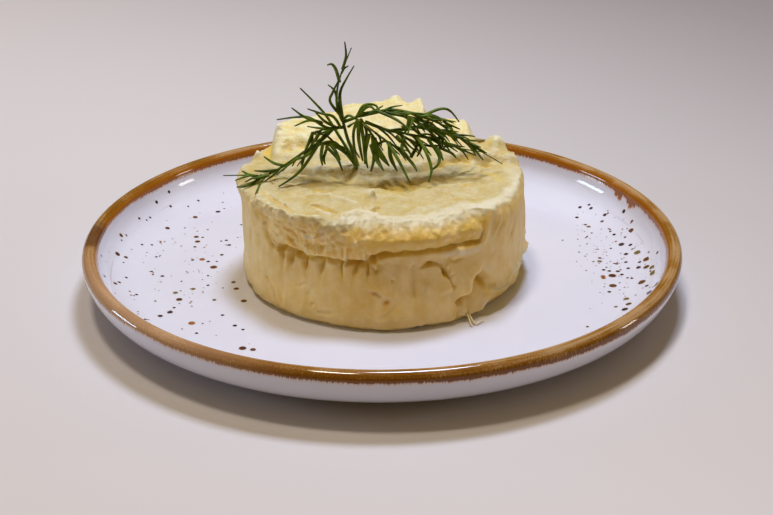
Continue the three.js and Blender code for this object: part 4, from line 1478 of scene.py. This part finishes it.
mash_finish, tree, shader = new_material(
    "mashed_potato",
    Roughness=0.5,
    Subsurface_Weight=0.75,
    Subsurface_Radius=(1.0, 0.75, 0.35),
    Subsurface_Scale=0.8 * MM,
)
is_torn = stored(tree, "torn")
body = blotchy(tree, colour(236, 211, 148), colour(224, 191, 110), per_metre=170.0, contrast=1.1)
wall = blotchy(tree, colour(246, 222, 160), colour(236, 198, 104), per_metre=300.0, contrast=1.5)
# The heap on top is a darker, greyer cream than the skin: partly torn mash's own tone, and partly
# painted shade that tones down the strong light which falls on the top.
heap = blotchy(tree, colour(207, 194, 152), colour(193, 169, 98), per_metre=220.0, contrast=1.1)
# Lighter cream of the high heap: painted light, where the lamp behind shines through it.
lit_heap = blotchy(tree, colour(234, 229, 186), colour(222, 199, 126), per_metre=240.0, contrast=1.1)
where = add(tree, "ShaderNodeTexCoord").outputs["Object"]
height = add(tree, "ShaderNodeSeparateXYZ", {0: where}).outputs["Z"]
heaped = mix(tree, ramp(tree, height, LIT_HEAP_FROM * MM, LIT_HEAP_TO * MM), heap, lit_heap)
tone = mix(tree, stored(tree, "on_top"), mix(tree, is_torn, body, wall), heaped)
# Painted shade, dried skin with its painted highlight, and browned bits are mixed over the tones.
for name, strength, shade in (
    ("moist", 0.8, SHADE_OCHRE),
    ("dry", 0.8, DRY_AND_HIGHLIGHT_CREAM),
    ("browned", 1.0, BROWNED_TONE),
):
    tone = mix(tree, calc(tree, "MULTIPLY", stored(tree, name), strength), tone, shade)
tree.links.new(tone, shader.inputs["Base Color"])
heights = calc(
    tree, "MULTIPLY_ADD", grain_height(tree, 420.0, 0.6), 1.6, grain_height(tree, 1300.0)
)
shown = calc(tree, "MULTIPLY", heights, calc(tree, "MULTIPLY_ADD", is_torn, 0.5, 0.5))
roughen(tree, shader, shown, strength=0.5, depth=0.45)
print("mash material with", len(tree.nodes), "nodes")

# %% Mash piece
drum[:, :2] += MASH_CENTRE
cap = list(range(base_start + AROUND - 1, base_start - 1, -1))
mash_mesh = mesh_of(
    "mash_body",
    drum,
    quads.tolist() + [cap],
    torn=torn,
    on_top=on_top,
    moist=moist,
    dry=dry,
    browned=browned,
)
mash_mesh.shade_smooth()
mash_mesh.materials.append(mash_finish)
mash = bpy.data.objects.new("mash_body", mash_mesh)
bpy.context.scene.collection.objects.link(mash)
finish_piece(mash, "mash")

# %% [markdown]
# ## Dill sprig
#
# A sprig of dill is a thin stem that forks into fronds, and each frond ends in thread-like leaves
# that droop under their own weight. Each strand follows its own way, so its points are listed
# one by one, as the diner sees them: across and up from the plate's middle, with its distance
# behind the middle at its two ends. One tree then gives all the strands their body.

# %% Strands of the sprig
# Name: (kind, distance behind the middle at the root and at the tip, [(across, up), ...]).
STRANDS = {
    "stem": ("stem", 1, 1, [(-9.6, 42), (-10.2, 45), (-11, 48.5), (-12.8, 53.3), (-14.4, 59.7)]),
    "stem_pale": ("pale", 2, 2, [(-8.4, 43), (-9.6, 46), (-10.8, 49.5), (-12.2, 52.4), (-13.4, 55.7)]),
    "upright": ("rib", 1, 2, [(-14.5, 59.5), (-16.2, 64), (-16.6, 69), (-15.2, 76), (-11, 86.7)]),
    "upright_right": ("rib", 1, 4, [(-14.6, 60), (-15.4, 67), (-15, 71), (-12.6, 75.7), (-10, 80)]),
    "upright_left": ("leaf", 1, -1, [(-14.7, 61), (-19, 66.5), (-18, 70.2), (-15.4, 75.3)]),
    "upright_hook": ("leaf", 1, -3, [(-15.5, 74), (-16.8, 78.5), (-18.3, 80.6), (-20, 80.3)]),
    "upright_tip": ("leaf", 1, 2, [(-14.4, 78.6), (-13.4, 81.8), (-13, 84.5), (-13.5, 89)]),
    "long_left": ("leaf", 3, 9, [(-10.2, 44.8), (-16.2, 54.5), (-21.5, 62.6), (-30.2, 71.8)]),
    "left_1": ("leaf", -1, -5, [(-16.2, 56.7), (-20.5, 57), (-26.7, 60.6), (-31, 61), (-39, 60)]),
    "left_2": ("leaf", -3, -6, [(-22.3, 58.9), (-28.3, 60.8), (-33.4, 64.4)]),
    "left_3": ("leaf", -3, 1, [(-21.9, 58.5), (-26.7, 59.7), (-32.2, 57.6)]),
    "left_4": ("leaf", -1, -3, [(-15, 56.7), (-17.9, 61), (-22.3, 62.2), (-27.5, 64)]),
    "left_5": ("leaf", 0, -4, [(-16.2, 56.7), (-21.1, 59.3), (-25.1, 63.4)]),
    "left_6": ("rib", 1, -3, [(-14.6, 57), (-18.7, 56.7), (-25.5, 55.3)]),
    "sweep": (
        "rib", 0, -8,
        [
            (-17.9, 56.7), (-23, 51.7), (-28.7, 48), (-36.4, 42.8), (-43.3, 39.4), (-51, 39.4),
            (-59, 39.3),
        ],
    ),
    "sweep_1": ("leaf", -3, -6, [(-25.5, 55.3), (-27.2, 51), (-28.7, 48)]),
    "sweep_2": ("leaf", -3, -7, [(-22.7, 55.5), (-24.3, 53), (-26.7, 49.7)]),
    "sweep_3": ("leaf", -5, -13, [(-23.1, 51.3), (-30.4, 40.8), (-38.4, 35)]),
    "sweep_4": ("leaf", -5, -9, [(-23.5, 50.5), (-28.3, 46.4), (-32.4, 44.8), (-39.2, 39.4)]),
    "sweep_5": ("leaf", -5, 3, [(-36, 42.8), (-40, 43.8), (-43.7, 46.2)]),
    "sweep_6": ("leaf", -8, -4, [(-46.5, 39), (-49.5, 39.6), (-52, 41)]),
    "sweep_7": ("leaf", -7, -2, [(-39.2, 41.2), (-43.3, 40.8), (-47.3, 41)]),
    "sweep_8": ("leaf", -8, -14, [(-44.5, 38.8), (-48, 36.4), (-51, 35.2), (-54, 35)]),
    "sweep_9": ("leaf", -7, -11, [(-42, 39.4), (-46, 38.4), (-49, 38)]),
    "low_1": ("leaf", 1, -5, [(-9.6, 42.8), (-16.2, 50.5), (-19.5, 51.7), (-22.7, 51)]),
    "low_2": ("leaf", 1, -6, [(-10.2, 44.4), (-16.2, 49.3), (-23.1, 50.9)]),
    "low_3": ("leaf", -1, -4, [(-13.4, 48.9), (-17.9, 50.9), (-21, 50.9)]),
    "low_4": ("leaf", -6, -9, [(-21.9, 50.9), (-22.5, 46.4), (-22, 42.8)]),
    "low_5": ("leaf", -6, -7, [(-20.3, 49.3), (-21.5, 45.6), (-21, 43.2)]),
    "low_6": ("leaf", -5, -10, [(-20.7, 50), (-16.6, 45.6), (-14.6, 40.8)]),
    "low_7": ("leaf", -4, -8, [(-19, 50.5), (-17, 48), (-15.4, 44.8)]),
    "fork_1": ("leaf", 1, -2, [(-14.4, 59.7), (-12.2, 61.4), (-9.8, 60.4)]),
    "fork_2": ("rib", 1, -2, [(-14.2, 59), (-9.8, 60.6), (-7, 62.2), (0, 63.2), (4, 63.5)]),
    "curl_1": ("leaf", 0, 4, [(-9, 61), (-7, 64.6), (-4.5, 65.6), (-2, 65), (-0.5, 63)]),
    "curl_2": ("leaf", 0, -4, [(-8.2, 61.6), (-5.8, 64.2), (-3.7, 64.6), (-2.3, 63)]),
    "drop_1": ("leaf", -2, -4, [(-9, 59.7), (-10.4, 55), (-10, 49), (-8.2, 45.6)]),
    "drop_2": ("leaf", -2, -6, [(-8.6, 59.3), (-8.4, 52), (-7, 44.4)]),
    "drop_3": ("leaf", -1, -7, [(-7.8, 59.3), (-6.7, 52), (-6.2, 43.2)]),
    "drop_4": ("leaf", -1, 2, [(-7.6, 60), (-5.6, 55.5), (-6.6, 49.7)]),
    "drop_5": ("leaf", 1, -2, [(-12.2, 57.3), (-9.8, 58.9)]),
    "pale_rib": ("pale", -1, 1, [(-8.6, 59.7), (-0.1, 53.3), (4, 50.5), (9.6, 48)]),
    "under_1": ("leaf", -2, -9, [(-4.5, 54.5), (-6, 47.5), (-5.2, 41.8)]),
    "under_2": ("leaf", -2, -10, [(-3.3, 53.7), (-2.8, 46), (-4, 40.4)]),
    "under_3": ("leaf", -3, -10, [(-3.3, 51.3), (-1.3, 44.8), (0.7, 41)]),
    "under_4": ("leaf", -3, -8, [(-2, 50.5), (0.7, 46), (2.7, 42.8)]),
    "under_5": ("leaf", -4, -10, [(3, 51.3), (3.3, 46.5), (5.7, 40.7)]),
    "right_top": (
        "rib", -1, 6,
        [(-4.5, 62), (4, 63.4), (12.8, 62), (19.7, 61.2), (25.3, 57.7), (27.7, 53.5)],
    ),
    "right_arch": ("leaf", 3, 12, [(15.6, 61.2), (21.7, 63.6), (25.5, 63), (28.9, 58.9)]),
    "right_1": ("leaf", -2, -8, [(-0.9, 62.8), (5.2, 60), (10, 56.5)]),
    "right_main": (
        "rib", -1, 0,
        [(1.5, 62.4), (9.2, 60.8), (17.7, 56.5), (25.3, 54), (31.8, 51.7), (35, 49), (45, 43)],
    ),
    "right_2": ("leaf", -3, 8, [(8.4, 61.2), (18, 58.5), (21.7, 55.3)]),
    "right_3": ("leaf", -5, -8, [(10.4, 61), (9.8, 57), (8.4, 54.5)]),
    "right_4": ("leaf", -4, -9, [(11.6, 59.7), (9.8, 54.5)]),
    "right_5": ("leaf", -3, 4, [(12.4, 61.6), (21.3, 58.5), (27.7, 53)]),
    "right_low": (
        "rib", -1, 3,
        [(-6, 59), (1.9, 56), (9.2, 54.5), (18, 52.5), (28.9, 49), (39, 47.3)],
    ),
    "right_6": ("leaf", 2, 6, [(28.9, 48.9), (34.6, 46.4)]),
    "right_7": ("leaf", 0, -3, [(21.3, 49.3), (26, 47.2), (27.7, 45.4)]),
    "hang_1": ("leaf", -4, -16, [(13.2, 53.3), (16.4, 48), (18.5, 41.5), (17.5, 36.4)]),
    "hang_2": ("leaf", -4, -12, [(17.3, 52.5), (21.3, 46.4), (21, 43), (18.7, 41)]),
    "hang_3": ("leaf", -2, -6, [(19.7, 49.7), (21.7, 47.6), (22.9, 44.4)]),
    "hang_4": ("leaf", -4, -16, [(2.3, 51.3), (6.4, 44.4), (10.6, 36)]),
    "hang_5": ("leaf", -3, -10, [(3.1, 51), (3.3, 45.6), (5.8, 40.6)]),
    "hang_6": ("leaf", -4, -12, [(6.4, 49), (11.6, 43.2), (13, 40.6)]),
    "hang_7": ("leaf", -2, -9, [(-2.5, 53), (-0.9, 46.8), (2.9, 42.4)]),
    "hang_8": ("leaf", -3, -11, [(-4, 50.5), (-2, 44.8), (0.7, 40.8)]),
    "mid_1": ("leaf", -3, 2, [(10.8, 45.6), (13, 49.5), (13.2, 53.3)]),
    "mid_2": ("leaf", -1, -4, [(-1.3, 50.5), (0.7, 51.7), (3.5, 51.3)]),
    "mid_3": ("leaf", -2, -1, [(5.2, 55.3), (12.4, 51.3), (21.3, 49)]),
    "mid_4": ("leaf", -3, 2, [(7.6, 57), (15.6, 56.5), (23.7, 53.3)]),
    "mid_5": ("leaf", 0, 6, [(10.8, 57.3), (16.4, 53.3), (29.4, 49.7)]),
    "mid_6": ("leaf", -3, -8, [(5.6, 53.7), (8.4, 50.5), (11.6, 45.6)]),
    "mid_7": ("leaf", -2, -7, [(10.8, 52), (14.6, 49.5), (13.2, 46)]),
    "mid_8": ("leaf", -4, -9, [(8.8, 53.3), (7.6, 49.7), (8.8, 46.4)]),
}
# Width in millimetres at the root and at the tip, and how pale it is.
KINDS = {
    "stem": (2.0, 1.5, 0.15),
    "pale": (1.3, 0.6, 1.0),
    "rib": (1.8, 0.45, 0.0),
    "leaf": (1.4, 0.6, 0.0),
    "fine": (1.05, 0.48, 0.0),
}
print(len(STRANDS), "strands drawn by hand")

# %% Fine leaves
# Fine leaves that close the gaps between the drawn ones: rib, how many.
FINE_LEAVES = {
    "right_top": 12, "right_main": 21, "right_low": 17, "right_5": 4, "mid_4": 5, "mid_3": 4,
    "pale_rib": 6, "right_2": 4, "fork_2": 5, "sweep": 9, "left_6": 4, "low_1": 3, "sweep_1": 2,
    "upright": 3,
}
# They leave the rib between these shares of its length, about twice as many on one side.
FROM_SHARE = 0.1
TO_SHARE = 0.78
SIDES_TAKEN = [0.35, 0.65]
LEAF_LENGTH = (5, 11)
STRAY_DEPTH = (-4, 3)


def fine_leaf(way, share, rng):
    """A short leaf that leaves a drawn strand at a small angle and droops."""
    way = np.array(way, float)
    place = share * (len(way) - 1)
    start = int(min(place, len(way) - 2))
    run = way[start + 1] - way[start]
    root = way[start] + (place - start) * run
    heading = run / np.hypot(*run)
    swing = np.array([-heading[1], heading[0]]) * rng.choice([-1, 1], p=SIDES_TAKEN)
    if heading[0] > 0:
        swing = -swing
    length = rng.uniform(*LEAF_LENGTH) * (1.1 - 0.4 * share)
    middle = root + length * (0.5 * heading + rng.uniform(0.06, 0.22) * swing)
    tip = root + length * (0.95 * heading + rng.uniform(0.15, 0.45) * swing) - (0, 0.1 * length)
    return [tuple(root), tuple(middle), tuple(tip)]


rng = np.random.default_rng(17)
for name, count in FINE_LEAVES.items():
    _, root_depth, tip_depth, way = STRANDS[name]
    for k, share in enumerate(np.linspace(FROM_SHARE, TO_SHARE, count)):
        depth = root_depth + (tip_depth - root_depth) * share
        new_depth = depth + rng.uniform(*STRAY_DEPTH)
        STRANDS[f"{name} fine {k}"] = ("fine", depth, new_depth, fine_leaf(way, share, rng))
print(len(STRANDS), "strands with the fine leaves")

# %% Places of the strands in space
CLEARANCE = 0.7
BEYOND_EDGE = 2
LOOK_NEARER = np.arange(0, 60, 0.5)
# The two stems go down into the mash, and their feet reach deeper than the diner can see.
PLANTED_BELOW = 45
STEM_FOOT_SHIFT = np.array([0.8, 0.5, -4.0])


def seen_at(across, up, behind):
    """The place that the diner sees at (across, up), at a given distance behind the middle."""
    tilt = math.atan2(EYE[2], -EYE[1])
    on_screen = np.array([across, up * math.sin(tilt), up * math.cos(tilt)])
    share = (behind - EYE[1]) / (on_screen[1] - EYE[1])
    return EYE + share * (on_screen - EYE)


def clear_of_mash(across, up, behind):
    """Moves a place towards the diner, along the line of sight, until it is clear of the mash."""
    for nearer in LOOK_NEARER:
        place = seen_at(across, up, behind - nearer)
        x, y = place[:2] - MASH_CENTRE
        if math.hypot(x, y) > RING_RADIUS + BEYOND_EDGE:
            break
        if place[2] > top_height(np.array([x]), np.array([y]))[0] + CLEARANCE:
            break
    return place


skeleton = []
joins = []
widths = []
pales = []
strand_numbers = []
for number, (kind, root, tip, way) in enumerate(STRANDS.values()):
    wide, narrow, pale = KINDS[kind]
    shares = np.linspace(0, 1, len(way))
    for share, (across, up) in zip(shares, way):
        behind = root + (tip - root) * share
        planted = kind in ("stem", "pale") and up < PLANTED_BELOW
        place = seen_at(across, up, behind) if planted else clear_of_mash(across, up, behind)
        if share > 0:
            joins.append((len(skeleton) - 1, len(skeleton)))
        skeleton.append(place)
        fade = share**3 if kind in ("leaf", "fine") else share
        widths.append((wide + (narrow - wide) * fade) * MM)
        pales.append(pale * (1 - 0.7 * share))
        strand_numbers.append(number)
for foot in (0, len(STRANDS["stem"][3])):
    skeleton[foot] = skeleton[foot] + STEM_FOOT_SHIFT
print(len(STRANDS), "strands through", len(skeleton), "places")

# %% Tree that gives strands their body
STRAND_STEP = 0.6
STRAND_SIDES = 8
FLATNESS = 0.75

frond, given, result = new_tree(
    "strands with body",
    "GeometryNodeTree",
    {
        "Skeleton": GEOMETRY,
        "Step": (FLOAT, STRAND_STEP * MM),
        "Sides": ("NodeSocketInt", STRAND_SIDES),
        "Flatness": (FLOAT, FLATNESS),
        "Material": MATERIAL,
    },
    {"Geometry": GEOMETRY},
)
lines = add(frond, "GeometryNodeMeshToCurve", {"Mesh": given["Skeleton"]}).outputs[0]
bowed = add(frond, "GeometryNodeCurveSplineType", {"Curve": lines}, spline_type="CATMULL_ROM")
even = add(
    frond,
    "GeometryNodeResampleCurve",
    {"Curve": bowed.outputs[0], "Length": given["Step"]},
    mode="LENGTH",
)
way_along = add(frond, "GeometryNodeSplineParameter").outputs["Factor"]
marked = add(
    frond,
    "GeometryNodeStoreNamedAttribute",
    {"Geometry": even.outputs[0], "Name": "along", "Value": way_along},
    data_type="FLOAT",
)
wide = add(frond, "GeometryNodeInputNamedAttribute", {"Name": "width"}, data_type="FLOAT")
profile = add(
    frond, "GeometryNodeCurvePrimitiveCircle", {"Resolution": given["Sides"], "Radius": 0.5}
)
pressed = add(frond, "ShaderNodeCombineXYZ", {"X": 1.0, "Y": given["Flatness"], "Z": 1.0})
flattened = add(
    frond, "GeometryNodeTransform", {"Geometry": profile.outputs[0], "Scale": pressed.outputs[0]}
)
tube = add(
    frond,
    "GeometryNodeCurveToMesh",
    {
        "Curve": marked.outputs[0],
        "Profile Curve": flattened.outputs[0],
        "Scale": wide.outputs[0],
        "Fill Caps": True,
    },
)
smooth = add(frond, "GeometryNodeSetShadeSmooth", {"Geometry": tube.outputs[0]})
end_tree(frond, smooth.outputs[0], given["Material"], result)

# %% Dill material
DEEP_GREEN = colour(44, 62, 4)
DARK_TIP = colour(36, 48, 4)
PALE_RIB = colour(178, 190, 132)
GOLDEN_SHARE = 0.618

leaf_green, tree, shader = new_material("dill_leaf", Roughness=0.5, Specular_IOR_Level=0.2)
blend = blotchy(tree, colour(106, 132, 26), colour(58, 80, 8), per_metre=260.0, contrast=1.4)
own = calc(tree, "FRACT", calc(tree, "MULTIPLY", stored(tree, "strand"), GOLDEN_SHARE))
blend = mix(tree, calc(tree, "MULTIPLY", own, 0.5), blend, DEEP_GREEN)
near_tip = ramp(tree, stored(tree, "along"), 0.7, 1.0)
blend = mix(tree, calc(tree, "MULTIPLY", near_tip, 0.5), blend, DARK_TIP)
blend = mix(tree, stored(tree, "pale"), blend, PALE_RIB)
tree.links.new(blend, shader.inputs["Base Color"])
roughen(tree, shader, grain_height(tree, 2400.0), strength=0.35, depth=0.2)
print("dill material with", len(tree.nodes), "nodes")

# %% Sprig piece
bones = mesh_of(
    "dill_skeleton", skeleton, edges=joins, width=widths, pale=pales, strand=strand_numbers
)
sprig = grown(
    "dill_fronds", bones, frond, Sides=STRAND_SIDES, Flatness=FLATNESS, Material=leaf_green
)
finish_piece(sprig, "dill_sprig")

# %% [markdown]
# ## Threads of mash
#
# Where the ring was lifted off, a few sticky threads were drawn out of the foot of the mash and
# fell onto the plate. They are strands like the dill's, only thinner, so the same tree gives them
# their body.

# %% Threads at the foot of the mash
THREADS = [
    [(28.4, -42.6, 8.6), (29.4, -45.6, 7.6), (30.1, -48.4, 6.3), (30.4, -49.4, 6.2)],
    [
        (29.6, -43.6, 8.0), (30.8, -46.8, 6.8), (31.8, -48.2, 6.2), (33.3, -46.6, 6.4),
        (34.6, -45.6, 6.2),
    ],
]
THREAD_WIDTH = 0.6
THREAD_SIDES = 6
THREAD_DRYNESS = 0.9

threads = []
links = []
for way in THREADS:
    links += [(len(threads) + k, len(threads) + k + 1) for k in range(len(way) - 1)]
    threads += way
thread_bones = mesh_of(
    "thread_skeleton",
    threads,
    edges=links,
    width=np.full(len(threads), THREAD_WIDTH * MM),
    dry=np.full(len(threads), THREAD_DRYNESS),
)
drawn_out = grown(
    "mash_threads", thread_bones, frond, Sides=THREAD_SIDES, Flatness=1.0, Material=mash_finish
)
finish_piece(drawn_out, None)

# %% [markdown]
# ## Table and light
#
# The plate stands on a plain pale table that runs on behind it. One lamp hangs over and behind the
# plate and one high overhead, so the front wall of the plate and of the mash are in shade, and the
# plate throws soft shadows towards the diner. Three faint windows at the sides and behind give the
# glaze something to mirror. A dim warm light fills the shadows from all round, and it stands in
# for the warm surfaces of a room. The camera sees a plain pale wall in its place.

# %% Table
TABLE_SIZE = 3.0
# The table darkens from near to far and towards the right: painted shade, for light that falls off away
# from the lamps.
NEAR_TONE = colour(205, 200, 206)
FAR_TONE = colour(142, 136, 142)
SLANT = 0.76

bpy.ops.mesh.primitive_grid_add(x_subdivisions=4, y_subdivisions=4, size=TABLE_SIZE)
table = bpy.context.object
table.name = "table"
table_finish, tree, shader = new_material("table", Roughness=0.65)
where = add(tree, "ShaderNodeTexCoord").outputs["Object"]
xyz = add(tree, "ShaderNodeSeparateXYZ", {0: where}).outputs
# Painted falloff of the light across the table.
far = calc(tree, "MULTIPLY_ADD", xyz["Y"], SLANT, xyz["X"])
dimmer = ramp(tree, far, -0.1, 0.62)
tree.links.new(mix(tree, dimmer, NEAR_TONE, FAR_TONE), shader.inputs["Base Color"])
table.data.materials.append(table_finish)
print(table.name, "is", TABLE_SIZE, "m wide")

# %% Lamps
# Name: direction from the plate, distance in metres, width and depth in metres, watts, colour.
LAMPS = {
    "lamp_back_right": ((0.1, 0.325, 1.0), 0.97, (0.22, 0.2), 7.0, (0.715, 0.82, 1.0)),
    "lamp_overhead": ((-0.16, -0.01, 1.0), 2.5, (0.33, 0.33), 21.2, (1.0, 0.89, 0.71)),
    "window_right": ((0.98, 0.07, 0.18), 1.4, (0.2, 0.26), 1.9, (1.0, 0.97, 0.92)),
    "window_left": ((-0.966, 0.2, 0.18), 1.6, (0.4, 0.26), 5.4, (0.62, 0.8, 1.0)),
    "window_behind": ((0.0, 0.35, 1.0), 1.6, (0.2, 0.08), 1.0, (1.0, 1.0, 1.0)),
}


def hang_lamp(name, direction, distance, size, watts, tint):
    """Hangs a rectangular lamp that faces the plate."""
    lamp = bpy.data.lights.new(name, "AREA")
    lamp.shape = "RECTANGLE"
    lamp.size = size[0]
    lamp.size_y = size[1]
    lamp.energy = watts
    lamp.color = tint
    holder = bpy.data.objects.new(name, lamp)
    holder.location = Vector(direction).normalized() * distance
    holder.rotation_mode = "QUATERNION"
    holder.rotation_quaternion = Vector(direction).to_track_quat("Z", "Y")
    bpy.context.scene.collection.objects.link(holder)


for name, settings in LAMPS.items():
    hang_lamp(name, *settings)

print(len(LAMPS), "lamps")

# %% Room
WARM = (1.0, 0.64, 0.05, 1.0)
WARM_STRENGTH = 0.22
PALE = (0.42, 0.39, 0.38, 1.0)

room = bpy.data.worlds.new("room")
room.use_nodes = True
tree = room.node_tree
warm_light = tree.nodes["Background"]
warm_light.inputs["Color"].default_value = WARM
warm_light.inputs["Strength"].default_value = WARM_STRENGTH
pale_wall = add(tree, "ShaderNodeBackground", {"Color": PALE, "Strength": 1.0})
is_seen = add(tree, "ShaderNodeLightPath").outputs["Is Camera Ray"]
seen_or_felt = {0: is_seen, 1: warm_light.outputs[0], 2: pale_wall.outputs[0]}
walls = add(tree, "ShaderNodeMixShader", seen_or_felt)
tree.links.new(walls.outputs[0], tree.nodes["World Output"].inputs["Surface"])
bpy.context.scene.world = room
bpy.context.scene.view_settings.view_transform = "Standard"
print(room.name, "has", len(tree.nodes), "nodes")

# %% Update the scene
bpy.context.view_layer.update()
